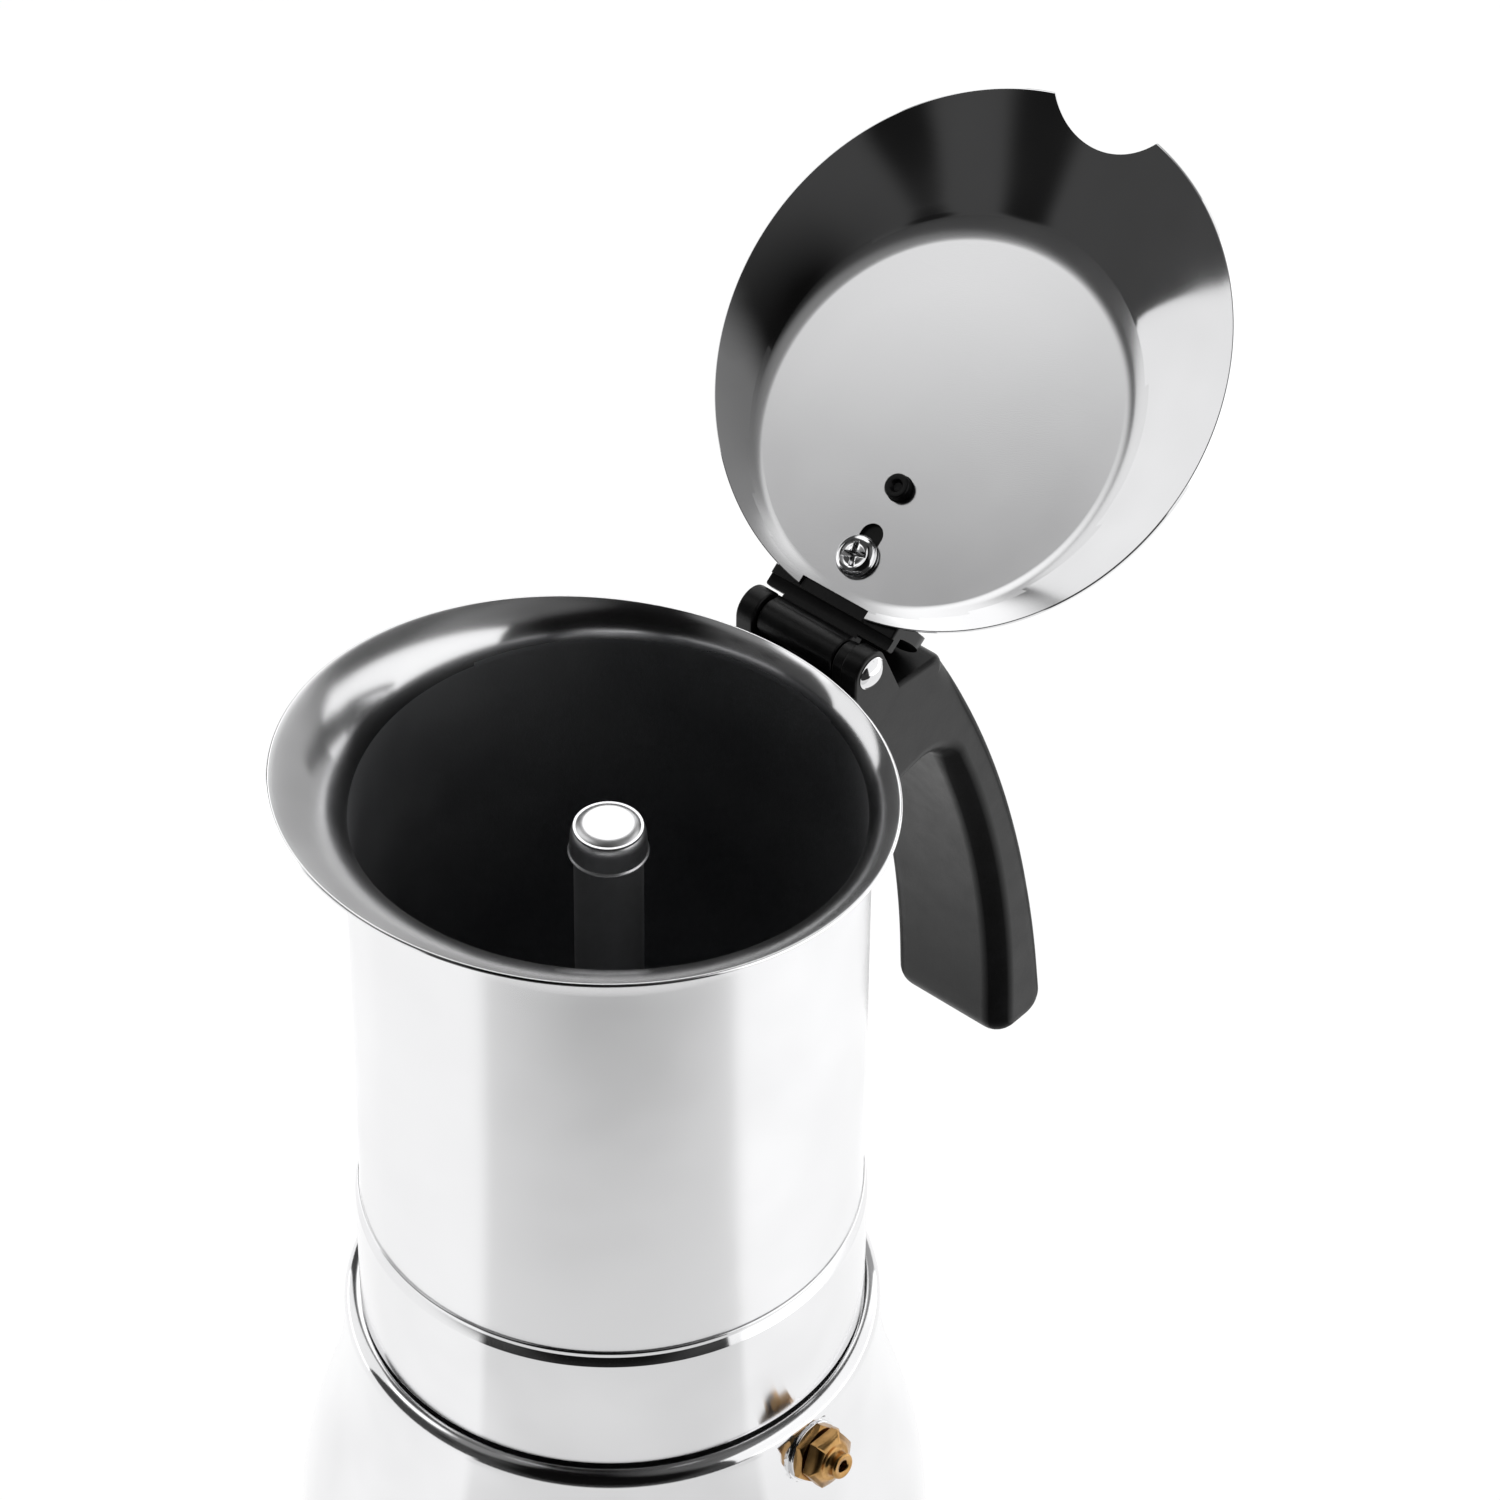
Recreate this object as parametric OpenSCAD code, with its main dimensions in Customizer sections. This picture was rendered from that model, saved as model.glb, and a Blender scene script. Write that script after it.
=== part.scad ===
// Stainless steel moka pot, about ten cups: a bell-shaped boiler with a safety valve,
// a funnel, a jug that screws on over it, a bakelite handle and a hinged lid.
// Origin at the centre of the foot, +Z up, +X towards the handle. The lid stands open.

/* [Boiler] */
// Height of the boiler's shoulder above the table
boiler_h = 78; // [70:1:95]
// How far the boiler's shoulder stands out beyond the collar
shoulder_out = 3; // [2:0.5:6]
// Rounding of the shoulder
shoulder_round = 3; // [2:0.5:4]
// Radius of the boiler where it is widest
belly_r = 60; // [58:0.5:68]
// Height of the widest place above the table
belly_z = 14; // [14:1:20]
// Rounding between the belly and the flat bottom
foot_round = 8; // [5:0.5:9]
// Thickness of the boiler's steel
boiler_wall = 1; // [0.8:0.1:1.3]
// Radius of the heat-spreading base
base_r = 50; // [45:1:52]
// Thickness of the heat-spreading base
base_t = 5; // [3:0.5:6]
// Depth of the threaded neck inside the collar's outer face
neck_in = 4; // [3.5:0.1:5]
// Thickness of the threaded neck
neck_wall = 4.5; // [3.5:0.1:5]
// Height of the neck above the shoulder
neck_h = 14; // [10:1:16]

/* [Safety valve] */
// Direction of the valve, turned from the handle
valve_turn = -92; // [-120:1:-60]
// Height of the valve above the table
valve_z = 69; // [62:1:70]
// Slope of the valve, rising outwards
valve_tilt = 9; // [0:1:12]
// Width across the flats of the valve's hexagons
valve_flats = 10; // [9:0.5:11]
// Radius of the valve's shank
valve_shank_r = 3.2; // [3:0.1:3.6]
// Radius of the steam bore through the nozzle
nozzle_bore_r = 1.2; // [0.8:0.1:1.4]
// Radius of the ball that closes the valve
ball_r = 1.6; // [1.4:0.1:1.8]

/* [Funnel] */
// Gap between the coffee basket and the neck's bore
basket_gap = 0.9; // [0.5:0.1:2]
// Depth of the straight part of the basket
basket_h = 22; // [16:1:26]
// Height of the cone below the basket
funnel_cone_h = 12; // [9:1:15]
// Radius of the funnel's stem
stem_r = 5; // [4.5:0.1:6]
// Gap between the stem's foot and the boiler's bottom
stem_gap = 6; // [4:1:10]
// Thickness of the funnel's steel
funnel_wall = 0.8; // [0.6:0.1:1]

/* [Seal and filter] */
// Depth of the silicone ring inside the thread
gasket_in = 2; // [1.6:0.1:2.4]
// Width of the silicone ring
gasket_w = 7; // [6:0.5:8]
// Thickness of the silicone ring
gasket_t = 4; // [3:0.5:5]
// Thickness of the filter plate and of the funnel's disc
plate_t = 0.8; // [0.6:0.1:1]
// Radius of the holes in both plates
sieve_hole_r = 0.9; // [0.6:0.1:1]
// Distance between the rings of holes
sieve_pitch = 6; // [5:0.5:7]

/* [Jug] */
// Outer radius of the jug's wall
jug_r = 46.2; // [46:0.1:46.4]
// Thickness of the jug's steel
jug_wall = 0.8; // [0.6:0.1:1]
// How far the collar round the jug's foot stands out beyond the wall
collar_out = 0.8; // [0.6:0.1:1.4]
// Height of the collar
collar_h = 29; // [26:1:34]
// Height over which the collar's top rounds in to the wall
collar_shoulder = 6.5; // [4:0.5:8]
// Gap between the boiler's shoulder and the collar when screwed down
collar_gap = 1; // [0.6:0.1:1.5]
// Height above the collar's foot where the wall starts to flare
flare_z = 116.4; // [100:0.2:140]
// Height of the rim's centre above the start of the flare
flare_h = 11; // [10:0.5:14]
// How far the rim stands out beyond the wall
rim_out = 8.7; // [7.5:0.1:10.8]
// Shift of the rim's centre towards the pouring side
rim_shift = 5.9; // [5.5:0.1:7]
// Slope of the rim, rising to the pouring side
rim_tilt = 6; // [5:0.5:7]
// Outer radius of the column
column_r = 6.2; // [5.5:0.1:7]
// Wall of the column
column_wall = 0.8; // [0.6:0.1:1]
// Height of the column's cap above the collar's foot
column_z = 114.3; // [95:0.5:116]
// Radius of the cap's lip
cap_r = 7.25; // [7:0.05:8]
// Height of the cap
cap_h = 6.7; // [6:0.1:9]

/* [Hinge] */
// Distance of the hinge axis outside the jug's wall
hinge_out = 8.2; // [7.8:0.1:10]
// Height of the hinge axis above the start of the flare
hinge_rise = 4.9; // [4.7:0.1:5.5]
// Half the width of the hinge
hinge_half = 14.2; // [13.4:0.1:15]
// Radius of the handle's knuckles
knuckle_r = 4.2; // [4:0.1:4.4]
// Width of each knuckle
knuckle_w = 4; // [3.5:0.1:5]
// Radius of the lid's barrel between the knuckles
barrel_r = 3.4; // [3:0.1:3.6]
// Radius of the hinge pin
pin_r = 1.5; // [1.2:0.1:1.8]
// Radius of the pin's domed heads
pin_head_r = 3.2; // [2.6:0.1:3.4]
// Running clearance round the pin
pin_clearance = 0.05; // [0.02:0.01:0.1]
// Gap between a knuckle and the barrel
barrel_gap = 0.3; // [0.2:0.05:0.5]

/* [Handle] */
// Width of the grip at its foot
grip_foot_w = 27.2; // [22:0.2:28]
// Rounding of the grip's long edges
grip_edge = 4.6; // [3:0.1:5]
// Rounding of the arm's edges at the hinge
arm_edge = 1; // [0.6:0.1:2]
// Radius of the curve along the grip's back
back_curve_r = 280; // [220:1:400]
// Radius of the curve along the grip's finger side
finger_curve_r = 210; // [170:1:300]
// Height of the handle's foot below the collar's foot
handle_drop = 3.8; // [-5:0.1:10]
// Distance from the pot's axis to the back of the grip at its foot
handle_reach = 113; // [110:0.2:118]
// Depth of the grip at its foot
grip_foot_d = 15.6; // [15:0.1:18]
// Clearance between the handle's arm and the jug's wall
handle_gap = 1; // [0.6:0.1:1.5]

/* [Lid] */
// How much larger the lid's radius is than the wall's
lid_over = 4.5; // [3.8:0.1:4.8]
// Thickness of the lid's steel
lid_wall = 0.8; // [0.6:0.1:1]
// Shift of the closed lid's centre towards the pouring side
lid_shift = 3; // [2.8:0.1:3.4]
// Width of the sloping brim round the flat disc in the lid
lid_brim = 14.4; // [13:0.1:16]
// Shift of the flat disc towards the hinge
lid_disc_shift = 10.7; // [10:0.1:11.5]
// Distance from the hinge axis up to the lid's inner face
lid_rise = 0.9; // [0.7:0.1:1]
// Slope between the flat disc and the lid's rim
lid_dish = 4.4; // [3:0.1:5]
// Slope of the open lid above the level
open_angle = 37; // [35:0.5:45]
// Radius of the pouring notch
notch_r = 15; // [12:0.5:18]
// Depth of the pouring notch
notch_depth = 7.2; // [5:0.1:9]

/* [Lid bracket] */
// Thickness of the bracket's plate
bracket_t = 3; // [2.5:0.1:3.5]
// Height of the thumb tab above the lid
tab_h = 16.4; // [12:0.1:16.6]
// Thickness of the thumb tab
tab_t = 3.4; // [2.6:0.1:3.8]
// Distance from the hinge axis to the lid's screw
screw_x = 16.8; // [15:0.1:18]
// Distance from the hinge axis to the locating peg
peg_x = 31.2; // [29:0.1:33]
// Radius of the locating peg
peg_r = 2.4; // [2:0.1:2.8]
// Radius of the lid screw's shank
screw_r = 2; // [1.5:0.1:2.2]
// Radius of the lid screw's head
screw_head_r = 4; // [3.6:0.1:4.2]

/* [Hidden] */

steel = [0.78, 0.78, 0.8];
dark_steel = [0.45, 0.46, 0.48];
bakelite = [0.09, 0.09, 0.1];
brass = [0.72, 0.56, 0.3];
eps = 0.01;
fit = 0.3;                      // gap between pieces that move past each other
$fn = 96;

// Points of an arc in the plane, from angle a to angle b in n steps
function arc(c, r, a, b, n) = [for (i = [0:n]) c + r * [cos(a + (b - a) * i / n), sin(a + (b - a) * i / n)]];
function unit(v) = v / norm(v);

past = 5;                       // how far a cutter runs past the piece that it cuts

// Radii that follow from the jug's wall
collar_r = jug_r + collar_out;
shoulder_r = collar_r + shoulder_out;
neck_r = collar_r - neck_in;
neck_bore_r = neck_r - neck_wall;
basket_r = neck_bore_r - basket_gap;
gasket_r = neck_r - gasket_in;
gasket_bore_r = gasket_r - gasket_w;
rim_r = jug_r + rim_out;
hinge_x = jug_r + hinge_out;

// Heights of the stack
shoulder_z = boiler_h;
neck_z = shoulder_z + neck_h;
collar_z = shoulder_z + collar_gap;
flange_t = 1;
gasket_z = neck_z + flange_t;
filter_z = gasket_z + gasket_t;
floor_z = filter_z + plate_t;
bend_z = collar_z + flare_z;
rim_z = bend_z + flare_h;
hinge_z = bend_z + hinge_rise;

// ---------------------------------------------------------------- boiler

// The boiler's side is an S of two equal arcs between the belly and the shoulder
bell_dr = belly_r - shoulder_r;
bell_top = shoulder_z - shoulder_round;
bell_dz = bell_top - belly_z;
bell_a = 2 * atan(bell_dr / bell_dz);
bell_r = bell_dz / (2 * sin(bell_a));
// Outer radius of the upper arc at a height near the shoulder
function bell_radius(z) = shoulder_r + bell_r - sqrt(bell_r * bell_r - pow(bell_top - z, 2));

// Profile of the boiler's steel moved inwards by t, from the middle of its bottom to the neck
function boiler_side(t) = concat(
    [[0, base_t + t]],
    arc([belly_r - foot_round, base_t + foot_round], foot_round - t, -90, 0, 8),
    arc([belly_r - bell_r, belly_z], bell_r - t, 0, bell_a, 10),
    arc([shoulder_r + bell_r, bell_top], bell_r + t, 180 + bell_a, 180, 10),
    arc([shoulder_r - shoulder_round, bell_top], shoulder_round - t, 0, 90, 8),
    [[neck_r, shoulder_z - t]]);

module boiler_shell() {
    outer = boiler_side(0);
    inner = boiler_side(boiler_wall);
    color(steel) difference() {
        union() {
            rotate_extrude() polygon(concat(outer, [for (i = [len(inner) - 1:-1:0]) inner[i]]));
            valve_axis() translate([0, 0, land_x - boiler_wall - land_in]) cylinder(h = boiler_wall + land_in, r = land_r);
        }
        valve_axis() translate([0, 0, land_x]) cylinder(h = past, r = land_r);
        valve_axis() translate([0, 0, land_x - past]) cylinder(h = 2 * past, r = valve_shank_r);
    }
}

// Sandwich disc brazed under the boiler
module heat_base() {
    edge = 1;
    color(dark_steel) rotate_extrude() polygon([
        [0, 0], [base_r - edge, 0], [base_r, edge], [base_r, base_t], [0, base_t]]);
}

// Turned ring that carries the male thread, held under the shoulder by its flange
module boiler_neck() {
    flange_out = 2;
    flange_h = 1.5;
    z0 = shoulder_z - boiler_wall - flange_h;
    lead = 0.8;
    color(steel) rotate_extrude() polygon([
        [neck_bore_r, z0], [neck_r + flange_out, z0], [neck_r + flange_out, z0 + flange_h],
        [neck_r, z0 + flange_h], [neck_r, neck_z - lead], [neck_r - lead, neck_z], [neck_bore_r, neck_z]]);
}

// ---------------------------------------------------------------- safety valve

land_r = valve_flats / 2 + 1.6;         // pressed flat on the boiler that the valve seats on
land_in = 0.8;
land_out = 0.3;
land_x = bell_radius(valve_z) + land_out;
washer_r = valve_flats / 2 + 1;
washer_t = 0.7;
locknut_t = 1.6;
hex_gap = 0.5;
hex_t = 2.8;
nozzle_r = 2.5;
nozzle_l = 2.4;
seal_t = 1.2;
inner_nut_t = 2.6;
shank_in = land_x - boiler_wall - land_in - seal_t - inner_nut_t - 0.6;    // inner end of the shank
spring_bore_r = ball_r + 0.25;
seat_t = 1.6;
spring_end = land_x + 3.6;              // outer end of the spring's bore

// Places children on the valve's axis, with +Z pointing out of the boiler
module valve_axis() {
    rotate([0, 0, valve_turn]) translate([land_x, 0, valve_z]) rotate([0, 90 - valve_tilt, 0])
        translate([0, 0, -land_x]) children();
}
module hexagon(flats, h) { cylinder(h = h, r = flats / 2 / cos(30), $fn = 6); }

module valve_body() {
    hex_z = land_x + washer_t + locknut_t + hex_gap;
    face_r = 3.6;                               // the hexagon's front is a broad cone down to here
    face_slope = 1.8;
    lip = 0.5;                                  // rounding of the nozzle's mouth
    color(brass) valve_axis() difference() {
        union() {
            translate([0, 0, shank_in]) cylinder(h = hex_z - shank_in + eps, r = valve_shank_r - eps);
            intersection() {
                translate([0, 0, hex_z]) hexagon(valve_flats, hex_t);
                translate([0, 0, hex_z]) cylinder(h = hex_t, r1 = face_r + hex_t * face_slope, r2 = face_r);
            }
            translate([0, 0, hex_z + hex_t - eps]) rotate_extrude() polygon(concat(
                [[0, 0], [nozzle_r + lip, 0], [nozzle_r, lip]],
                arc([nozzle_r - lip, nozzle_l - lip], lip, 0, 90, 5),
                [[0, nozzle_l]]));
        }
        translate([0, 0, shank_in - 1]) cylinder(h = spring_end - shank_in + 1, r = spring_bore_r);
        translate([0, 0, spring_end - eps]) cylinder(h = hex_t + nozzle_l + past, r = nozzle_bore_r);
    }
}

module valve_ring(z, h, r) {
    valve_axis() translate([0, 0, z]) difference() {
        cylinder(h = h, r = r);
        translate([0, 0, -1]) cylinder(h = h + 2, r = valve_shank_r);
    }
}
module valve_locknut() {
    color(brass) valve_axis() translate([0, 0, land_x + washer_t]) difference() {
        hexagon(valve_flats + 0.6, locknut_t);
        translate([0, 0, -1]) cylinder(h = locknut_t + 2, r = valve_shank_r);
    }
}
module valve_washer() { color(steel) valve_ring(land_x, washer_t, washer_r); }
module valve_inner_seal() {
    color([0.55, 0.2, 0.15]) valve_ring(land_x - boiler_wall - land_in - seal_t, seal_t, washer_r - 0.6);
}
module valve_inner_nut() {
    z = land_x - boiler_wall - land_in - seal_t - inner_nut_t;
    color(brass) valve_axis() translate([0, 0, z]) difference() {
        hexagon(valve_flats, inner_nut_t);
        translate([0, 0, -1]) cylinder(h = inner_nut_t + 2, r = valve_shank_r);
    }
}
// Ring pressed into the shank's inner end, which the ball closes
module valve_seat() {
    color(brass) valve_axis() translate([0, 0, shank_in]) difference() {
        cylinder(h = seat_t, r = spring_bore_r);
        translate([0, 0, -1]) cylinder(h = seat_t + 2, r = ball_r * 0.55);
        translate([0, 0, seat_t + ball_lift]) sphere(r = ball_r + 0.02);
    }
}
ball_lift = ball_r * 0.7;
ball_x = shank_in + seat_t + ball_lift;
module valve_ball() { color(steel) valve_axis() translate([0, 0, ball_x]) sphere(r = ball_r); }

// The coil spring stands as a tube of its outer and inner size
module valve_spring() {
    wire = 0.45;
    z0 = ball_x + ball_r + 0.02;
    color(steel) valve_axis() translate([0, 0, z0]) difference() {
        cylinder(h = spring_end - z0 - 0.02, r = spring_bore_r - 0.15);
        translate([0, 0, -1]) cylinder(h = spring_end - z0 + 2, r = spring_bore_r - 0.15 - wire);
    }
}

// ---------------------------------------------------------------- funnel, seal and filter

// Rings of evenly spaced holes out to radius r
module sieve_holes(r) {
    for (k = [0:floor(r / sieve_pitch)]) {
        n = max(1, 6 * k);
        for (i = [0:n - 1]) rotate(360 * i / n) translate([k * sieve_pitch, 0, -5])
            cylinder(h = 10, r = sieve_hole_r, $fn = 16);
    }
}

basket_z = neck_z - basket_h;                   // where the basket's straight wall ends
stem_z = base_t + boiler_wall + stem_gap;       // foot of the stem
disc_step = 2;                                  // ledge that holds the funnel's disc
flange_r = neck_r - 2;

module funnel() {
    w = funnel_wall;
    outer = [
        [flange_r, neck_z], [basket_r, neck_z], [basket_r, basket_z],
        [basket_r - disc_step, basket_z - 1],
        [stem_r, basket_z - funnel_cone_h], [stem_r, stem_z]];
    inner = [
        [stem_r - w, stem_z], [stem_r - w, basket_z - funnel_cone_h + w],
        [basket_r - w - disc_step, basket_z], [basket_r - w, basket_z],
        [basket_r - w, neck_z + flange_t], [flange_r, neck_z + flange_t]];
    color(steel) rotate_extrude() polygon(concat(outer, inner));
}

module funnel_disc() {
    color(steel) translate([0, 0, basket_z]) difference() {
        cylinder(h = plate_t, r = basket_r - funnel_wall);
        sieve_holes(basket_r - funnel_wall - disc_step - 2);
    }
}

module gasket() {
    color([0.9, 0.9, 0.88]) translate([0, 0, gasket_z]) difference() {
        cylinder(h = gasket_t, r = gasket_r);
        translate([0, 0, -1]) cylinder(h = gasket_t + 2, r = gasket_bore_r);
    }
}

module filter_plate() {
    color(steel) translate([0, 0, filter_z]) difference() {
        cylinder(h = plate_t, r = gasket_r - 0.4);
        sieve_holes(gasket_bore_r - 3);
    }
}

// ---------------------------------------------------------------- jug

jug_in = jug_r - jug_wall;
dome_r = gasket_bore_r + 2;                     // foot of the cone in the jug's floor
dome_h = 8;
socket_h = 4;                                   // collar that the column stands in

module jug_floor() {
    w = jug_wall;
    color(steel) rotate_extrude() polygon([
        [jug_in, floor_z], [jug_in, floor_z + w], [dome_r, floor_z + w],
        [column_r + w, floor_z + dome_h + w], [column_r + w, floor_z + dome_h + socket_h],
        [column_r, floor_z + dome_h + socket_h], [column_r, floor_z + dome_h], [dome_r - w, floor_z]]);
}

// Smooth outer band of the jug's foot, rounded in to the wall at its top
module jug_collar() {
    top = collar_z + collar_h;
    bend = top - collar_shoulder;
    step = collar_r - jug_r - 0.3;
    sweep = 2 * atan(step / (collar_shoulder - 0.5));
    r = (collar_shoulder - 0.5) / sin(sweep);
    color(steel) rotate_extrude() polygon(concat(
        [[jug_r, collar_z], [collar_r - 0.3, collar_z], [collar_r, collar_z + 0.3]],
        arc([collar_r - r, bend], r, 0, sweep, 8),
        [[jug_r, top]]));
}

// Ring inside the collar with the female thread and the seat for gasket and filter
module collar_thread() {
    thread_r = neck_r + fit;
    seat_r = gasket_r + fit;
    lead = 1;
    color(steel) rotate_extrude() polygon([
        [thread_r + lead, collar_z + 1], [jug_r, collar_z + 1], [jug_r, floor_z],
        [seat_r, floor_z], [seat_r, gasket_z - 0.5], [flange_r + fit, gasket_z - 0.5],
        [flange_r + fit, neck_z + fit], [thread_r, neck_z + fit], [thread_r, collar_z + 1 + lead]]);
}

// The flare runs from the round wall up to a rim that is shifted, tilted and wider
flare_lean = 62;                                // slope of the flare at the rim
flare_sides = 72;
flare_steps = 7;
flare_foot = 2;                                 // length of the flare's foot inside the wall
function rim_point(a) = [
    -rim_shift + rim_r * cos(a), rim_r * sin(a), rim_z - rim_r * cos(a) * tan(rim_tilt)];
// Middle of the sheet at angle a, with s from 0 at the bend to 1 at the rim
function flare_mid(a, s) =
    let (m = jug_r - jug_wall / 2, b = [m * cos(a), m * sin(a), bend_z], d = rim_point(a) - b,
         f = (1 - cos(s * flare_lean)) / (1 - cos(flare_lean)), g = sin(s * flare_lean) / sin(flare_lean))
    [b[0] + d[0] * f, b[1] + d[1] * f, b[2] + d[2] * g];
// Direction across the sheet, pointing out of the jug
function flare_normal(a, s) =
    let (u = flare_mid(a, s + 0.01) - flare_mid(a, s - 0.01), v = flare_mid(a + 1, s) - flare_mid(a - 1, s))
    unit(cross(v, u));
function flare_ring(s, t) = [for (i = [0:flare_sides - 1])
    let (a = i * 360 / flare_sides) flare_mid(a, s) + t * flare_normal(a, s)];
function foot_ring(t) = [for (i = [0:flare_sides - 1])
    let (a = i * 360 / flare_sides, r = jug_r - jug_wall / 2 + t) [r * cos(a), r * sin(a), bend_z - flare_foot]];

module flare() {
    h = jug_wall / 2;
    inset = h - 0.12;                           // the flare's foot stays inside the wall
    rings = concat(
        [foot_ring(inset)], [for (k = [1:flare_steps]) flare_ring(k / flare_steps, h)],
        [for (k = [flare_steps:-1:1]) flare_ring(k / flare_steps, -h)], [foot_ring(-inset)]);
    n = flare_sides;
    m = len(rings);
    polyhedron(
        points = [for (ring = rings) each ring],
        faces = [for (k = [0:m - 1]) for (i = [0:n - 1]) each [
            [k * n + i, ((k + 1) % m) * n + i, ((k + 1) % m) * n + (i + 1) % n],
            [k * n + i, ((k + 1) % m) * n + (i + 1) % n, k * n + (i + 1) % n]]]);
}

module jug_body() {
    color(steel) union() {
        translate([0, 0, floor_z]) difference() {
            cylinder(h = bend_z - floor_z, r = jug_r);
            translate([0, 0, -1]) cylinder(h = bend_z - floor_z + 2, r = jug_in);
        }
        flare();
    }
}

column_foot = floor_z + dome_h;
cap_top = collar_z + column_z;
cap_wall = 0.7;
tube_top = cap_top - cap_wall;
outlet_w = 6;
outlet_h = 5;

module column() {
    color(steel) difference() {
        translate([0, 0, column_foot]) cylinder(h = tube_top - column_foot, r = column_r);
        translate([0, 0, column_foot - 1]) cylinder(h = tube_top - column_foot + 2, r = column_r - column_wall);
        translate([0, -outlet_w / 2, cap_top - cap_h - outlet_h - 0.5]) cube([column_r + 2, outlet_w, outlet_h]);
    }
}

module column_cap() {
    round_r = 2;
    shoulder = cap_r - 0.7;
    in = column_r;
    color(steel) translate([0, 0, cap_top - cap_h]) rotate_extrude() polygon(concat(
        [[in, 0], [cap_r, 0], [cap_r, 0.5]],
        arc([shoulder - round_r, cap_h - round_r], round_r, 5, 90, 8),
        [[0, cap_h], [0, cap_h - cap_wall], [in, cap_h - cap_wall]]));
}

// ---------------------------------------------------------------- handle

arm_x = jug_r + handle_gap;                     // front of the arm, curved like the jug's wall
arm_top = bend_z - 2.4;                         // top of the arm under the hinge
arm_low = bend_z - 30;                          // underside of the arm
foot_z = collar_z - handle_drop;
arm_front = arm_x - 4;                          // the curved cut takes the arm back from here
head_x = hinge_x + 20.4;
palm_x = hinge_x + 21.8;
head_drop = 1.7;
palm_rise = 1.5;
head = [head_x, arm_top - head_drop];                 // corner where the top turns down into the back
palm = [palm_x, arm_low + palm_rise];                 // corner between the underside and the finger side
foot_back = [handle_reach, foot_z];
foot_front = [handle_reach - grip_foot_d, foot_z];

// Centre of an arc of radius r from p down to q that bulges away from the pot
function arc_centre(p, q, r) =
    let (d = q - p) (p + q) / 2 + sqrt(r * r - norm(d) * norm(d) / 4) * unit([d[1], -d[0]]);
function angle_at(c, p) = atan2(p[1] - c[1], p[0] - c[0]);
// Points of a rounded corner at c, reached along d1 and left along d2
function corner(c, d1, d2, r) =
    let (side = sign(d1[0] * d2[1] - d1[1] * d2[0]), turn = acos(d1 * d2),
         start = c - d1 * r * tan(turn / 2), o = start + side * r * [-d1[1], d1[0]], a = angle_at(o, start))
    arc(o, r, a, a + side * turn, 5);

back_o = arc_centre(head, foot_back, back_curve_r);
finger_o = arc_centre(palm, foot_front, finger_curve_r);
back_a = [angle_at(back_o, foot_back), angle_at(back_o, head)];
finger_a = [angle_at(finger_o, palm), angle_at(finger_o, foot_front)];
under = unit(palm - [arm_front, arm_low]);
over = unit([arm_front, arm_top] - head);
function down(a) = [sin(a), -cos(a)];           // direction down a curve at angle a
trim = 2;                                       // degrees of a curve left out beside a rounded corner

// Outline of the handle seen from its side
handle_outline = concat(
    corner([arm_front, arm_low], [0, -1], under, 3.5),
    corner(palm, under, down(finger_a[0]), 9),
    arc(finger_o, finger_curve_r, finger_a[0] - 2 * trim, finger_a[1] + trim, 8),
    corner(foot_front, down(finger_a[1]), [1, 0], 5.4),
    corner(foot_back, [1, 0], -down(back_a[0]), 5.6),
    arc(back_o, back_curve_r, back_a[0] + trim, back_a[1] - trim, 10),
    corner(head, -down(back_a[1]), over, 4.5),
    corner([arm_front, arm_top], over, [0, -1], 3.5));
outline_n = len(handle_outline);
function outline_normal(i) =
    let (t = unit(handle_outline[(i + 1) % outline_n] - handle_outline[(i + outline_n - 1) % outline_n]))
    [t[1], -t[0]];
// Half the handle's width at a height: it narrows from the hinge to the foot
function half_width(z) =
    grip_foot_w / 2 + (hinge_half - grip_foot_w / 2) * (z - foot_z) / (hinge_z - foot_z);
// Rounding of the long edges: full on the grip, crisp along the arm and on its top
function edge_r(i) =
    let (along = min(1, max(0, (handle_outline[i][0] - arm_x - 4) / (palm_x - arm_x - 12))),
         side = 1 - max(0, outline_normal(i)[1]))
    arm_edge + (grip_edge - arm_edge) * along * min(1, side * 1.3);
// One ring of the handle's skin, side -1 or 1, a from 0 on the broad middle to 90 on the flat side
function handle_ring(side, a) = [for (i = [0:outline_n - 1])
    let (e = edge_r(i), p = handle_outline[i] - e * (1 - cos(a)) * outline_normal(i))
    [p[0], side * (half_width(p[1]) - e * (1 - sin(a))), p[1]]];

// Two triangles of a flat side, between the outline's way down the finger side and its way up the back
function cap_strip(i, n, first) =
    let (a = first + i, b = first + n - 1 - i) [[b, b - 1, a + 1], [b, a + 1, a]];

module handle_skin() {
    step = 22.5;
    rings = concat([for (a = [90:-step:0]) handle_ring(-1, a)], [for (a = [0:step:90]) handle_ring(1, a)]);
    n = outline_n;
    m = len(rings);
    polyhedron(
        points = [for (ring = rings) each ring],
        faces = concat(
            [for (i = [0:n / 2 - 2]) each cap_strip(i, n, 0)],
            [for (i = [0:n / 2 - 2]) each [for (f = cap_strip(i, n, (m - 1) * n)) [f[2], f[1], f[0]]]],
            [for (k = [0:m - 2]) for (i = [0:n - 1]) each [
                [k * n + i, k * n + (i + 1) % n, (k + 1) * n + (i + 1) % n],
                [k * n + i, (k + 1) * n + (i + 1) % n, (k + 1) * n + i]]]));
}

// A shape across the hinge, from y = a to y = b, drawn in the plane of the handle's side
module across(a, b) { translate([0, b, 0]) rotate([90, 0, 0]) linear_extrude(b - a) children(); }
module on_hinge() { translate([hinge_x, 0, hinge_z]) children(); }

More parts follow.
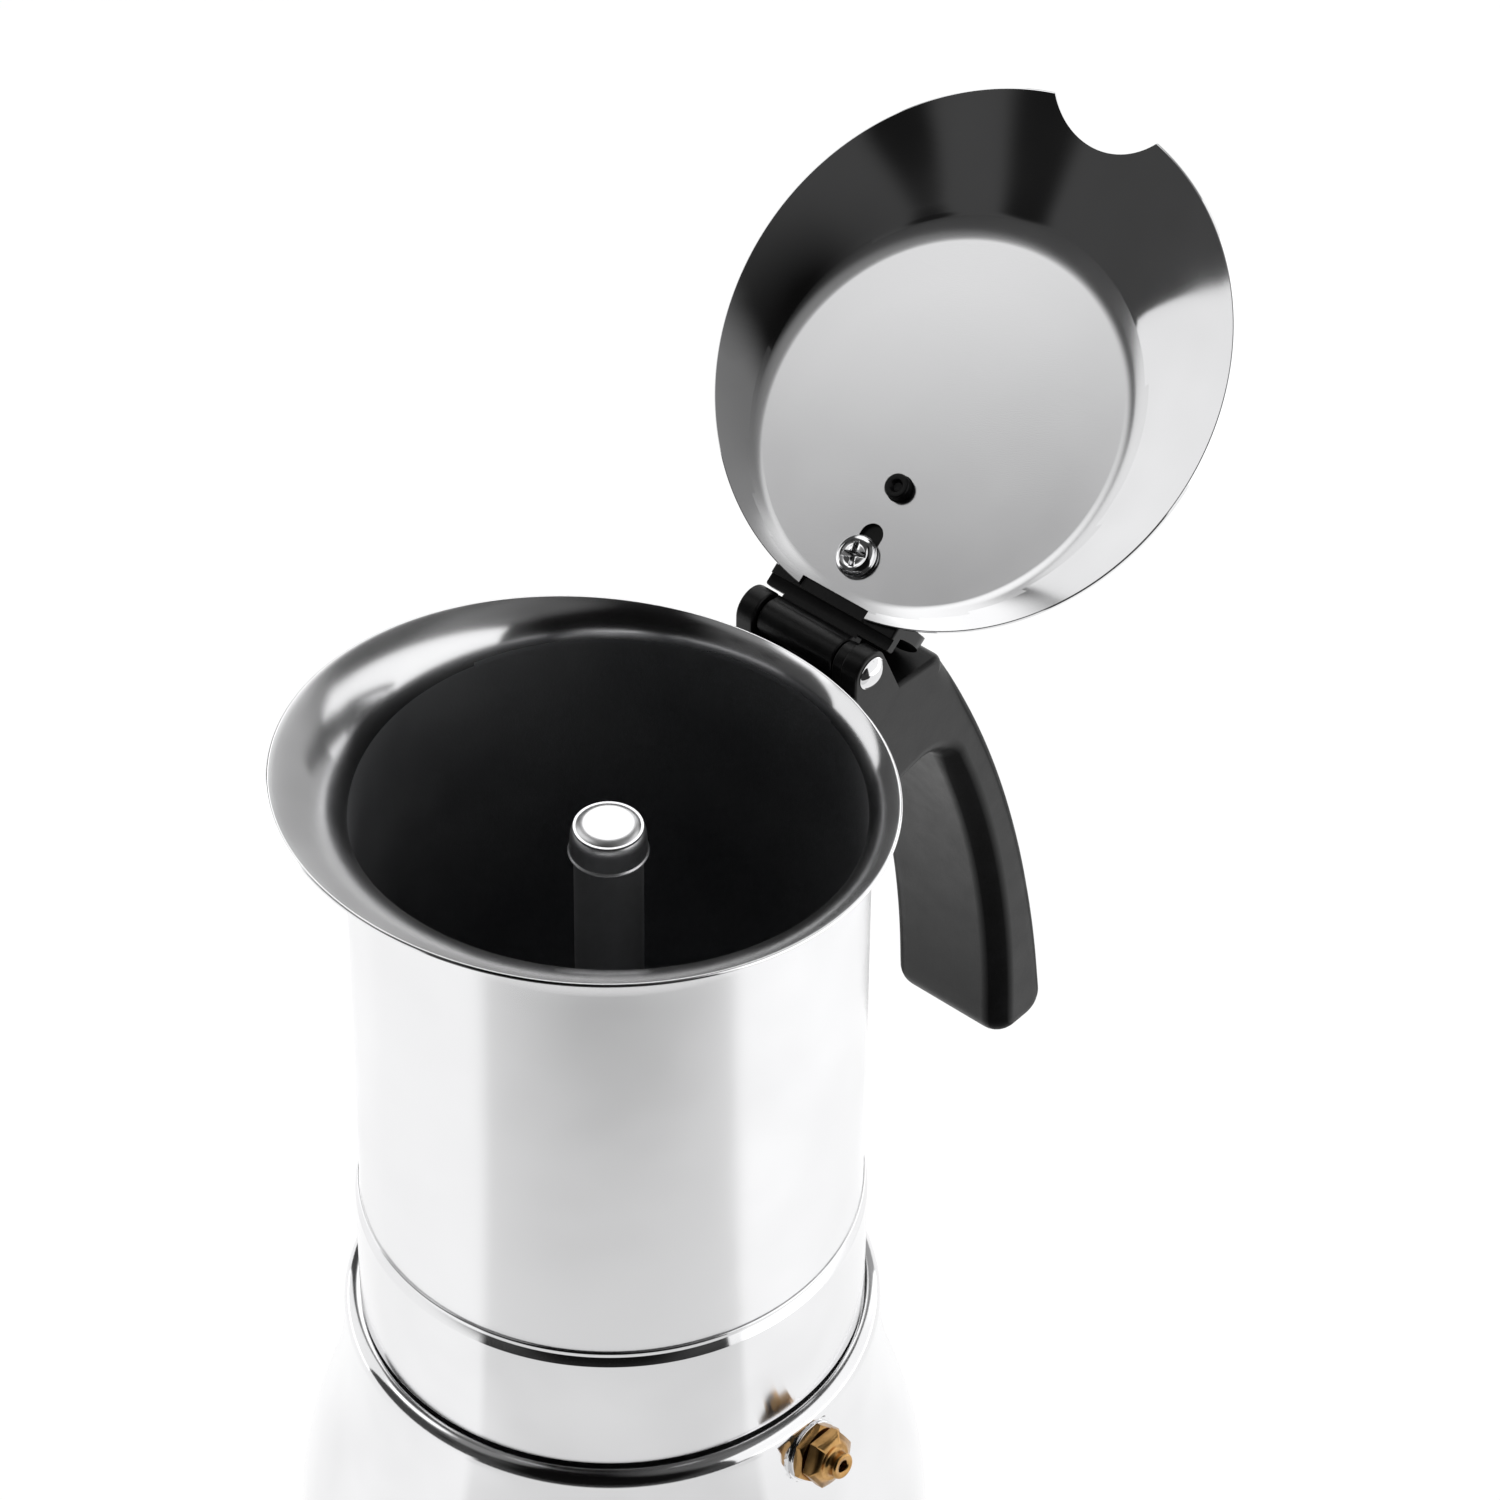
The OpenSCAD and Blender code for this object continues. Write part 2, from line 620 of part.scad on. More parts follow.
module knuckle(a, b) {
    lean = 9;                                   // how far the knuckle's foot runs out along the arm
    across(a, b) union() {
        translate([hinge_x, hinge_z]) circle(r = knuckle_r);
        polygon([
            [hinge_x - knuckle_r, hinge_z], [hinge_x - knuckle_r, arm_top - 3],
            [hinge_x + lean, arm_top - 3], [hinge_x + knuckle_r * cos(35), hinge_z + knuckle_r * sin(35)]]);
    }
}

tongue_z = arm_low + 9;
tongue_t = 3;
tongue_w = 9;
tongue_x = hinge_x + 11.6;
handle_screw_x = hinge_x + 3.6;
handle_screw_r = 2;
screw_sink = 4;                                 // depth of the sunk head
sink_r = 4;
screw_up = 30;                                  // depth of the screw's hole, from below the arm
pad_w = 16;
pad_h = 20;
pad_t = 1;
pad_z = arm_low + 2.5;
slot_gap = 0.2;

module handle() {
    far = hinge_half - knuckle_w;
    inner_r = 3.5;                              // slimmer inner part of the near knuckle
    inner_w = 2.4;
    color(bakelite) difference() {
        union() {
            handle_skin();
            knuckle(-hinge_half, -far);
            knuckle(far, hinge_half);
            across(-far - eps, -far + inner_w) translate([hinge_x, hinge_z]) circle(r = inner_r);
            across(-far - eps, -far + inner_w)
                translate([hinge_x - inner_r, arm_top - 3]) square([2 * inner_r, hinge_z - arm_top + 3]);
        }
        translate([0, 0, arm_low - past]) linear_extrude(hinge_z - arm_low + 2 * past)
            polygon(concat([[0, 0]], arc([0, 0], arm_x, -30, 30, 20)));
        across(-hinge_half - past, hinge_half + past) translate([hinge_x, hinge_z]) circle(r = pin_r + eps);
        translate([0, -tongue_w / 2 - slot_gap, tongue_z - slot_gap])
            cube([tongue_x + 0.5, tongue_w + 2 * slot_gap, tongue_t + 2 * slot_gap]);
        translate([handle_screw_x, 0, arm_low - past]) cylinder(h = screw_up, r = handle_screw_r + slot_gap);
        translate([handle_screw_x, 0, arm_low - past]) cylinder(h = past + screw_sink, r = sink_r);
        translate([0, -pad_w / 2 - slot_gap, pad_z - 0.5])
            cube([arm_x + slot_gap, pad_w + 2 * slot_gap, pad_h + 1]);
    }
}

// Steel tab welded to the jug, with a tongue that the handle slides on to
module handle_bracket() {
    h = pad_h + 2 * past;
    color(steel) difference() {
        union() {
            intersection() {
                translate([jug_r - past, -pad_w / 2, pad_z]) cube([2 * past, pad_w, pad_h]);
                translate([0, 0, arm_low]) cylinder(h = h, r = jug_r + pad_t);
            }
            translate([jug_r - 1, -tongue_w / 2, tongue_z]) cube([tongue_x - jug_r + 1, tongue_w, tongue_t]);
        }
        translate([0, 0, arm_low - past]) cylinder(h = h + past, r = jug_r);
        translate([handle_screw_x, 0, arm_low]) cylinder(h = screw_up, r = handle_screw_r);
    }
}

module handle_screw() {
    head_h = 2.4;
    head_r = 3.6;
    cross_w = 0.9;
    z0 = arm_low + screw_sink - head_h;
    color(steel) translate([handle_screw_x, 0, 0]) difference() {
        union() {
            translate([0, 0, z0]) cylinder(h = head_h, r = head_r);
            translate([0, 0, z0]) cylinder(h = tongue_z + tongue_t + 2 - z0, r = handle_screw_r - eps);
        }
        for (a = [0, 90]) translate([0, 0, z0]) rotate(a) cube([head_r, cross_w, head_h], center = true);
    }
}

module hinge_pin() {
    head_h = 1.5;
    dome_ball = (pin_head_r * pin_head_r + head_h * head_h) / (2 * head_h);
    open = asin(pin_head_r / dome_ball);
    half = hinge_half;
    color(steel) on_hinge() rotate([90, 0, 0]) rotate_extrude() polygon(concat(
        arc([0, -half - head_h + dome_ball], dome_ball, -90, -90 + open, 6),
        [[pin_r, -half], [pin_r, half]],
        arc([0, half + head_h - dome_ball], dome_ball, 90 - open, 90, 6)));
}

// ---------------------------------------------------------------- lid

lid_r = jug_r + lid_over;
lid_centre = hinge_x + lid_shift;               // distance from the hinge to the centre of the lid
lid_disc_r = lid_r - lid_brim;
lid_out = lid_rise - lid_wall;                  // outer face of the lid's flat disc
lid_disc_x = lid_centre - lid_disc_shift;
lid_near = lid_centre - lid_r;                  // edge of the lid next to the hinge
hinge_cut_x = lid_near + 2.6;
hinge_cut_w = 15.2;
screw_slot = 4.6;                               // travel of the screw in the lid's slot
slot_r = screw_r + 0.3;

// The lid's own frame: the hinge axis at the origin, +X to the pouring side, +Z to its inner face
module on_lid() { on_hinge() rotate([0, -open_angle, 0]) children(); }

module lid_bowl(lift, r) {
    flat = 0.02;
    up = 3;
    hull() {
        translate([lid_disc_x, 0, lid_out + lift]) cylinder(h = flat, r = lid_disc_r);
        translate([lid_centre, 0, lid_rise + lid_r * sin(lid_dish)]) rotate([0, -lid_dish, 0])
            translate([0, 0, lift - lid_wall]) cylinder(h = lift > 0 ? up : lid_wall, r = r);
    }
}

module lid() {
    edge = 0.5;
    color(steel) on_lid() difference() {
        lid_bowl(0, lid_r);
        lid_bowl(lid_wall, lid_r - edge);
        translate([0, -hinge_cut_w / 2, -past]) cube([hinge_cut_x, hinge_cut_w, 3 * past]);
        translate([lid_centre + lid_r - notch_depth + notch_r, 0, -past]) cylinder(h = 6 * past, r = notch_r);
        for (x = [0, screw_slot]) translate([screw_x + x, 0, -past]) cylinder(h = 2 * past, r = slot_r);
        translate([screw_x, -slot_r, -past]) cube([screw_slot, 2 * slot_r, 2 * past]);
        translate([peg_x, 0, -past]) cylinder(h = 2 * past, r = peg_r + 0.2);
    }
}

relief_x = lid_near + 0.4;                      // the bracket is cut back to here to pass over the rim
relief_t = 0.8;
relief_near = barrel_r + 0.6;
tab_x = 8;
boss_r = 5;
boss_h = 4;
insert_r = 3;

// Outline of the bracket's plate, from the hinge to the round end behind the peg
module plate_outline() {
    x0 = knuckle_r + 0.6;
    end_r = 7.5;
    wide_x = tab_x + 7;
    w = hinge_half;
    polygon(concat(
        [[x0, -w], [wide_x, -w]], arc([peg_x, 0], end_r, -60, 60, 12), [[wide_x, w], [x0, w]]));
}

// The thumb tab stands across the bracket: hollowed for the thumb, its corners rounded
module thumb_tab() {
    corner_r = 8;
    root = lid_out - 1;
    tip = lid_out - tab_h;
    hollow_r = 30;
    w = hinge_half;
    intersection() {
        across(-w, w) difference() {
            translate([tab_x - 1.6, tip]) square([tab_t + 3.2, root - tip]);
            translate([tab_x - hollow_r + 0.6, (tip + root) / 2]) circle(r = hollow_r);
            translate([tab_x + tab_t + hollow_r - 0.4, (tip + root) / 2]) circle(r = hollow_r);
        }
        translate([tab_x - 10, 0, 0]) rotate([90, 0, 90]) linear_extrude(30) polygon(concat(
            arc([corner_r - w, tip + corner_r], corner_r, 180, 270, 10),
            arc([w - corner_r, tip + corner_r], corner_r, 270, 360, 10),
            [[w, root + 1], [-w, root + 1]]));
    }
}

module lid_bracket() {
    half = hinge_half - knuckle_w - barrel_gap;
    near = half - 2.4;
    low = lid_out - bracket_t;
    color(bakelite) on_lid() difference() {
        union() {
            translate([0, 0, low]) linear_extrude(bracket_t) plate_outline();
            across(-near, half) circle(r = barrel_r);
            across(-near, half) translate([0, low]) square([knuckle_r + 1, bracket_t]);
            translate([relief_x - 1, -hinge_cut_w / 2 + 0.2, low + 0.5])
                cube([hinge_cut_x + 0.8 - relief_x, hinge_cut_w - 0.4, lid_rise - 0.6 - low]);
            translate([screw_x, 0, low - boss_h + eps]) cylinder(h = boss_h, r = boss_r);
            translate([peg_x, 0, low]) cylinder(h = lid_rise + 2 - low, r = peg_r);
            thumb_tab();
        }
        across(-hinge_half - past, hinge_half + past) circle(r = pin_r + pin_clearance);
        translate([relief_near, -hinge_half - past, lid_out - relief_t])
            cube([relief_x - relief_near, 2 * (hinge_half + past), 2 * past]);
        translate([screw_x, 0, low - boss_h - 1]) cylinder(h = boss_h + bracket_t + 2, r = insert_r);
        translate([peg_x, 0, lid_rise]) cylinder(h = 4, r = 0.8);
    }
}

insert_l = 6;
module lid_screw_insert() {
    color(brass) on_lid() translate([screw_x, 0, lid_out - insert_l]) difference() {
        cylinder(h = insert_l, r = insert_r);
        translate([0, 0, -1]) cylinder(h = insert_l + 2, r = screw_r);
    }
}

module lid_screw() {
    head_h = 2.2;
    color(steel) on_lid() translate([screw_x, 0, lid_rise]) difference() {
        union() {
            translate([0, 0, -5.5]) cylinder(h = 5.6, r = screw_r - eps);
            rotate_extrude() polygon(concat(
                [[0, 0], [screw_head_r, 0]], arc([screw_head_r - 1.4, head_h - 1.4], 1.4, 0, 90, 6), [[0, head_h]]));
        }
        for (a = [0, 90]) rotate(a) translate([0, 0, head_h]) cube([3.4, 0.8, 2], center = true);
    }
}

boiler_shell();
heat_base();
boiler_neck();
valve_body();
valve_locknut();
valve_washer();
valve_inner_seal();
valve_inner_nut();
valve_seat();
valve_spring();
valve_ball();
funnel();
funnel_disc();
gasket();
filter_plate();
jug_body();
jug_floor();
jug_collar();
collar_thread();
column();
column_cap();
handle_bracket();
handle();
handle_screw();
hinge_pin();
lid();
lid_bracket();
lid_screw();
lid_screw_insert();
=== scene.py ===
import math

import bpy
from mathutils import Matrix, Vector


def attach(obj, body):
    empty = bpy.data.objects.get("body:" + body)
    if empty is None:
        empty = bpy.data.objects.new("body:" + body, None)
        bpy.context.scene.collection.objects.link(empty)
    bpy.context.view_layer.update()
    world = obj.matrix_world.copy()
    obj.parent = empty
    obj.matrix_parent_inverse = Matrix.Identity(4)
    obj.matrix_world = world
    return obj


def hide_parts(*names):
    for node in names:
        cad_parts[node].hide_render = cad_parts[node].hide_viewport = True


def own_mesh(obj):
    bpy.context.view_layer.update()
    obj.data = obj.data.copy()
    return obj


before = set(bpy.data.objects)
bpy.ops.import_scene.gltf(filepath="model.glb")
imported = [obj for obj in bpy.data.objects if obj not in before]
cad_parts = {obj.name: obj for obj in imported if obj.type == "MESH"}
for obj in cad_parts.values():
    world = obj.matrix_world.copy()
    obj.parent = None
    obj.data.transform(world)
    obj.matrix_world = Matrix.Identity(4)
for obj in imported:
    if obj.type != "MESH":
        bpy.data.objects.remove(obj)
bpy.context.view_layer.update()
bpy.ops.object.select_all(action="DESELECT")
mm = 0.001

# ------------------------------------------------------------------ sizes, in millimetres

collar_foot, collar_top = 79.0, 108.0
jug_r, jug_wall, floor_z = 46.2, 0.8, 97.8
bend_z, rim_r, rim_up, rim_shift, rim_tilt, flare_lean = 195.4, 54.9, 11.0, 5.9, 6.0, 62.0
hinge_x, hinge_z, hinge_half, knuckle_r, knuckle_w = 54.4, 200.3, 14.2, 4.2, 4.0
lid_rise, lid_wall, lid_centre, lid_r = 0.9, 0.8, 57.4, 50.38
disc_x, disc_r, lid_dish = 46.7, 36.3, 4.4
screw_x, peg_x = 16.8, 31.2
valve_z, valve_tilt, land, valve_flats = 69.0, 9.0, 50.489, 10.0
arm_front, arm_top, arm_low, foot_z = 43.2, bend_z - 2.4, bend_z - 30, collar_foot - 3.8
grip_back, grip_depth, grip_foot_half, grip_edge, arm_edge = 113.0, 15.6, 13.6, 4.6, 1.0
back_curve, finger_curve = 280.0, 210.0

# Frames of the two tilted groups: the valve points out of the boiler along its +Z,
# the open lid has the hinge at its origin, +X to the pouring side and +Z on its inner face
valve_place = (Matrix.Rotation(math.radians(-92), 4, "Z") @ Matrix.Translation((land * mm, 0, valve_z * mm))
               @ Matrix.Rotation(math.radians(90 - valve_tilt), 4, "Y") @ Matrix.Translation((0, 0, -land * mm)))
lid_place = Matrix.Translation((hinge_x * mm, 0, hinge_z * mm)) @ Matrix.Rotation(math.radians(-37), 4, "Y")


def arc(cx, cy, r, start, end, steps=8):
    """Points of an arc, angles in degrees"""
    angles = [math.radians(start + (end - start) * i / steps) for i in range(steps + 1)]
    return [(cx + r * math.cos(a), cy + r * math.sin(a)) for a in angles]


# ------------------------------------------------------------------ modelling by hand

def edit(on=True):
    bpy.ops.object.mode_set(mode="EDIT" if on else "OBJECT")


def settle(piece):
    """Puts a piece's place into its mesh and leaves its object at the origin"""
    bpy.ops.object.select_all(action="DESELECT")
    piece.select_set(True)
    bpy.context.view_layer.objects.active = piece
    bpy.ops.object.transform_apply(location=True, rotation=True, scale=True)


def start_point(name, x, y, z):
    """A single vertex to draw a profile from"""
    bpy.ops.mesh.primitive_plane_add(size=mm, location=(x * mm, y * mm, z * mm))
    piece = bpy.context.object
    piece.name = piece.data.name = name
    settle(piece)
    edit()
    bpy.ops.mesh.select_all(action="SELECT")
    bpy.ops.mesh.merge(type="CENTER")
    return piece


def tidy_mesh():
    """In edit mode: joins doubles, drops an edge left on the axis and turns all faces outwards"""
    bpy.ops.mesh.select_all(action="SELECT")
    bpy.ops.mesh.remove_doubles(threshold=2e-6)
    bpy.ops.mesh.delete_loose()
    bpy.ops.mesh.select_all(action="SELECT")
    bpy.ops.mesh.normals_make_consistent(inside=False)


def turned(name, profile, steps=160, smooth=32):
    """A piece turned round Z from a closed profile of (radius, height)"""
    piece = start_point(name, profile[0][0], 0, profile[0][1])
    for (x0, z0), (x1, z1) in zip(profile, profile[1:] + profile[:1]):
        bpy.ops.mesh.extrude_region_move(TRANSFORM_OT_translate={"value": ((x1 - x0) * mm, 0, (z1 - z0) * mm)})
    bpy.ops.mesh.select_all(action="SELECT")
    bpy.ops.mesh.remove_doubles(threshold=2e-6)
    bpy.ops.mesh.select_all(action="SELECT")
    bpy.ops.mesh.spin(steps=steps, angle=2 * math.pi, center=(0, 0, 0), axis=(0, 0, 1))
    tidy_mesh()
    edit(False)
    smoothed(piece, smooth)
    return piece


def coil(name, profile, pitch, turns, steps):
    """A closed profile of (radius, height) wound round Z as a thread or a spring"""
    piece = start_point(name, profile[0][0], 0, profile[0][1])
    for (x0, z0), (x1, z1) in zip(profile, profile[1:] + profile[:1]):
        bpy.ops.mesh.extrude_region_move(TRANSFORM_OT_translate={"value": ((x1 - x0) * mm, 0, (z1 - z0) * mm)})
    bpy.ops.mesh.select_all(action="SELECT")
    bpy.ops.mesh.remove_doubles(threshold=2e-6)
    edit(False)
    apply(piece, "SCREW", axis="Z", screw_offset=pitch * mm, iterations=turns, steps=steps, render_steps=steps)
    edit()
    bpy.ops.mesh.select_all(action="SELECT")
    bpy.ops.mesh.fill_holes(sides=0)
    tidy_mesh()
    edit(False)
    return piece


def slab(name, outline, start, end, flat=False):
    """A plate from a closed outline, pulled out to its thickness: standing in the XZ plane and
    thick along Y, or flat in the XY plane and thick along Z"""
    def at(point, depth):
        return (point[0], point[1], depth) if flat else (point[0], depth, point[1])

    piece = start_point(name, *at(outline[0], start))
    for (a0, b0), (a1, b1) in zip(outline, outline[1:] + outline[:1]):
        bpy.ops.mesh.extrude_region_move(TRANSFORM_OT_translate={"value": [v * mm for v in at((a1 - a0, b1 - b0), 0)]})
    bpy.ops.mesh.select_all(action="SELECT")
    bpy.ops.mesh.remove_doubles(threshold=2e-6)
    bpy.ops.mesh.select_all(action="SELECT")
    bpy.ops.mesh.edge_face_add()
    bpy.ops.mesh.extrude_region_move(TRANSFORM_OT_translate={"value": [v * mm for v in at((0, 0), end - start)]})
    tidy_mesh()
    edit(False)
    return piece


def soften(piece, width, segments=3, angle=50):
    """Rounds the edges sharper than an angle"""
    return apply(piece, "BEVEL", width=width * mm, segments=segments, limit_method="ANGLE",
                 angle_limit=math.radians(angle), use_clamp_overlap=True)


def wrapped(piece):
    """UV round the pot's axis, which gives the lathe's lines their direction"""
    layer = piece.data.uv_layers.new(name="round")
    for face in piece.data.polygons:
        middle = math.atan2(face.center.y, face.center.x)
        for loop in face.loop_indices:
            x, y, z = piece.data.vertices[piece.data.loops[loop].vertex_index].co
            turn = math.atan2(y, x)
            turn += 2 * math.pi * round((middle - turn) / (2 * math.pi))
            layer.data[loop].uv = (turn / (2 * math.pi), z / 0.3)
    return piece


def smoothed(piece, angle=32):
    """Smooth shading with the flat faces kept flat"""
    bpy.ops.object.select_all(action="DESELECT")
    piece.select_set(True)
    bpy.context.view_layer.objects.active = piece
    bpy.ops.object.shade_smooth_by_angle(angle=math.radians(angle))
    apply(piece, "WEIGHTED_NORMAL", keep_sharp=True)


def apply(piece, kind, **settings):
    """Adds a modifier and applies it"""
    bpy.ops.object.select_all(action="DESELECT")
    piece.select_set(True)
    bpy.context.view_layer.objects.active = piece
    modifier = piece.modifiers.new(kind.lower(), kind)
    for key, value in settings.items():
        setattr(modifier, key, value)
    bpy.ops.object.modifier_apply(modifier=modifier.name)
    return piece


def cut(piece, tool, operation="DIFFERENCE"):
    """Cuts the tool from the piece, or joins or intersects them, and throws the tool away"""
    apply(piece, "BOOLEAN", object=tool, operation=operation, solver="EXACT")
    bpy.data.objects.remove(tool)
    return piece


def place(piece, matrix):
    piece.matrix_world = matrix @ piece.matrix_world
    settle(piece)
    return piece


def rod(name, radius, z0, z1, steps=48, x=0.0, y=0.0):
    """A round bar, used for cutting holes and as a start for small pieces"""
    bpy.ops.mesh.primitive_cylinder_add(vertices=steps, radius=radius * mm, depth=(z1 - z0) * mm,
                                        location=(x * mm, y * mm, (z0 + z1) / 2 * mm))
    piece = bpy.context.object
    piece.name = piece.data.name = name
    settle(piece)
    return piece


def block(name, low, high):
    """A rectangular cutter"""
    size = [(h - l) * mm for l, h in zip(low, high)]
    bpy.ops.mesh.primitive_cube_add(size=1, location=[(l + h) / 2 * mm for l, h in zip(low, high)], scale=size)
    piece = bpy.context.object
    piece.name = piece.data.name = name
    settle(piece)
    return piece


def rings(name, shapes, vertices):
    """A skin drawn ring by ring. Each shape is (centre x, centre z, radius, tilt in degrees):
    the last ring is extruded, laid flat, sized, tilted and moved."""
    cx, cz, r, tilt = shapes[0]
    bpy.ops.mesh.primitive_circle_add(vertices=vertices, radius=r * mm, location=(cx * mm, 0, cz * mm))
    piece = bpy.context.object
    piece.name = piece.data.name = name
    settle(piece)
    edit()
    bpy.ops.mesh.select_all(action="SELECT")
    if tilt:
        stretch = 1 / math.cos(math.radians(tilt))
        bpy.ops.transform.resize(value=(stretch, 1, 1), center_override=(cx * mm, 0, cz * mm))
        bpy.ops.transform.rotate(value=math.radians(tilt), orient_axis="Y", center_override=(cx * mm, 0, cz * mm))
    for nx, nz, nr, ntilt in shapes[1:]:
        here = (cx * mm, 0, cz * mm)
        bpy.ops.mesh.extrude_region_move(TRANSFORM_OT_translate={"value": (0, 0, 0)})
        bpy.ops.transform.rotate(value=math.radians(-tilt), orient_axis="Y", center_override=here)
        flat = math.cos(math.radians(tilt)) / math.cos(math.radians(ntilt))
        bpy.ops.transform.resize(value=(flat * nr / r, nr / r, 1), center_override=here)
        bpy.ops.transform.rotate(value=math.radians(ntilt), orient_axis="Y", center_override=here)
        bpy.ops.transform.translate(value=((nx - cx) * mm, 0, (nz - cz) * mm))
        cx, cz, r, tilt = nx, nz, nr, ntilt
    return piece


def dress(piece, body, slot, material, *nodes):
    """Gives a finished piece its material, its body and the CAD nodes it stands for"""
    piece.data.materials.clear()
    piece.data.materials.append(material)
    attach(piece, body)
    if nodes:
        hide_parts(*nodes)
    return piece


# ------------------------------------------------------------------ materials

def colour(code):
    """sRGB hex to linear"""
    parts = [int(code[i:i + 2], 16) / 255 for i in (1, 3, 5)]
    return [p / 12.92 if p <= 0.04045 else ((p + 0.055) / 1.055) ** 2.4 for p in parts] + [1.0]


def node(tree, kind, links=(), **settings):
    """Adds a node. Settings name its properties or, with in_ before them, its sockets;
    links are (output socket, name of the input here)."""
    made = tree.nodes.new(kind)
    for key, value in settings.items():
        if key.startswith("in_"):
            made.inputs[int(key[3:]) if key[3:].isdigit() else key[3:].replace("_", " ")].default_value = value
        else:
            setattr(made, key, value)
    for output, name in links:
        tree.links.new(output, made.inputs[name])
    return made


def new_material(name):
    material = bpy.data.materials.new(name)
    material.use_nodes = True
    tree = material.node_tree
    shader = tree.nodes["Principled BSDF"]
    return material, tree, shader


def ramp(tree, source, stops):
    """A colour ramp between (place, hex colour) stops"""
    made = node(tree, "ShaderNodeValToRGB", [(source, "Fac")])
    band = made.color_ramp
    while len(band.elements) < len(stops):
        band.elements.new(0.5)
    for element, (at, code) in zip(band.elements, stops):
        element.position = at
        element.color = colour(code)
    return made.outputs["Color"]


def steel(name, tint, rough, rough_spread, line_mm, line_depth, grain_mm=0.0, grain_depth=0.0, along=(1, 1, 40), brushed=0.0):
    """Stainless steel: fine polishing lines from a noise drawn out in one direction, and a soft
    unevenness of the roughness where hands and polishing wheels have been. Lines too fine to see
    still spread the light across them: that is the brushed share."""
    material, tree, shader = new_material(name)
    shader.inputs["Metallic"].default_value = 1.0
    if brushed:
        shader.inputs["Anisotropic"].default_value = brushed
        shader.inputs["Anisotropic Rotation"].default_value = 0.25
        round_it = node(tree, "ShaderNodeTangent", direction_type="UV_MAP", uv_map="round")
        tree.links.new(round_it.outputs["Tangent"], shader.inputs["Tangent"])
    place_at = node(tree, "ShaderNodeTexCoord").outputs["Object"]
    drawn = node(tree, "ShaderNodeMapping", [(place_at, "Vector")], in_Scale=along)
    lines = node(tree, "ShaderNodeTexNoise", [(drawn.outputs["Vector"], "Vector")],
                 in_Scale=1 / (line_mm * mm * max(along)), in_Detail=3.0, in_Roughness=0.6)
    clouds = node(tree, "ShaderNodeTexNoise", [(place_at, "Vector")], in_Scale=1 / (24 * mm), in_Detail=2.0)
    tones = ramp(tree, clouds.outputs["Fac"], [(0.3, tint[0]), (0.7, tint[1])])
    tree.links.new(tones, shader.inputs["Base Color"])
    spread = node(tree, "ShaderNodeMapRange", [(clouds.outputs["Fac"], "Value")])
    for key, value in {"From Min": 0.3, "From Max": 0.7, "To Min": rough, "To Max": rough + rough_spread}.items():
        spread.inputs[key].default_value = value
    tree.links.new(spread.outputs["Result"], shader.inputs["Roughness"])
    height = node(tree, "ShaderNodeBump", [(lines.outputs["Fac"], "Height")], in_Strength=line_depth, in_Distance=0.02 * mm)
    if grain_mm:
        grain = node(tree, "ShaderNodeTexNoise", [(place_at, "Vector")], in_Scale=1 / (grain_mm * mm), in_Detail=2.0)
        height = node(tree, "ShaderNodeBump", [(grain.outputs["Fac"], "Height"), (height.outputs["Normal"], "Normal")],
                      in_Strength=grain_depth, in_Distance=0.02 * mm)
    tree.links.new(height.outputs["Normal"], shader.inputs["Normal"])
    return material


# 18/10 stainless, wheel-polished to a mirror: nearly white, with a faint haze
mirror_steel = steel("stainless_mirror_polish", ("#D9D9DA", "#E4E4E5"), 0.05, 0.04, 0.6, 0.03)
# 18/10 stainless, polished on a lathe: fine hairlines run round the wall and soften what it reflects
lathe_steel = steel("stainless_lathe_polish", ("#E8E8E9", "#F0F0F1"), 0.2, 0.05, 0.25, 0.08, brushed=0.95)
# the rim over the flare, polished once more by hand
rim_steel = steel("stainless_rim_polish", ("#DFDFE0", "#E8E8E9"), 0.13, 0.05, 0.25, 0.05, brushed=0.9)
# the same finish, finer, on the collar and the boiler
fine_steel = steel("stainless_fine_polish", ("#DFDFE0", "#E8E8E9"), 0.1, 0.03, 0.25, 0.03, brushed=0.9)
# the same steel left as pressed and bead blasted inside: dark grey, grainy, no clear reflection
blasted_steel = steel("stainless_blasted_inside", ("#96979A", "#A2A3A5"), 0.54, 0.06, 0.5, 0.0, 0.45, 0.9)
# pressed or turned steel that nobody polishes: dull, a little streaky
raw_steel = steel("stainless_raw", ("#A5A6A8", "#B2B3B5"), 0.3, 0.08, 0.4, 0.2)
# the column and its cap, tumbled in a barrel: soft and a little dull
tumbled_steel = steel("stainless_tumbled", ("#E6E6E7", "#EEEEEF"), 0.32, 0.05, 0.3, 0.05, 0.25, 0.15)
# drawn tube, as it leaves the mill: an even grey sheen
drawn_steel = steel("stainless_drawn_tube", ("#CFCFD0", "#D7D7D8"), 0.44, 0.05, 0.3, 0.05)
# satin disc in the lid: an even fine grain blurs the light
satin_steel = steel("stainless_satin", ("#D6D6D7", "#DEDEDF"), 0.14, 0.03, 0.3, 0.03, 0.25, 0.08)
# ground steel under the boiler, with rings from the lathe
ground_steel = steel("stainless_ground", ("#8E9094", "#9A9CA0"), 0.34, 0.08, 0.5, 0.3)


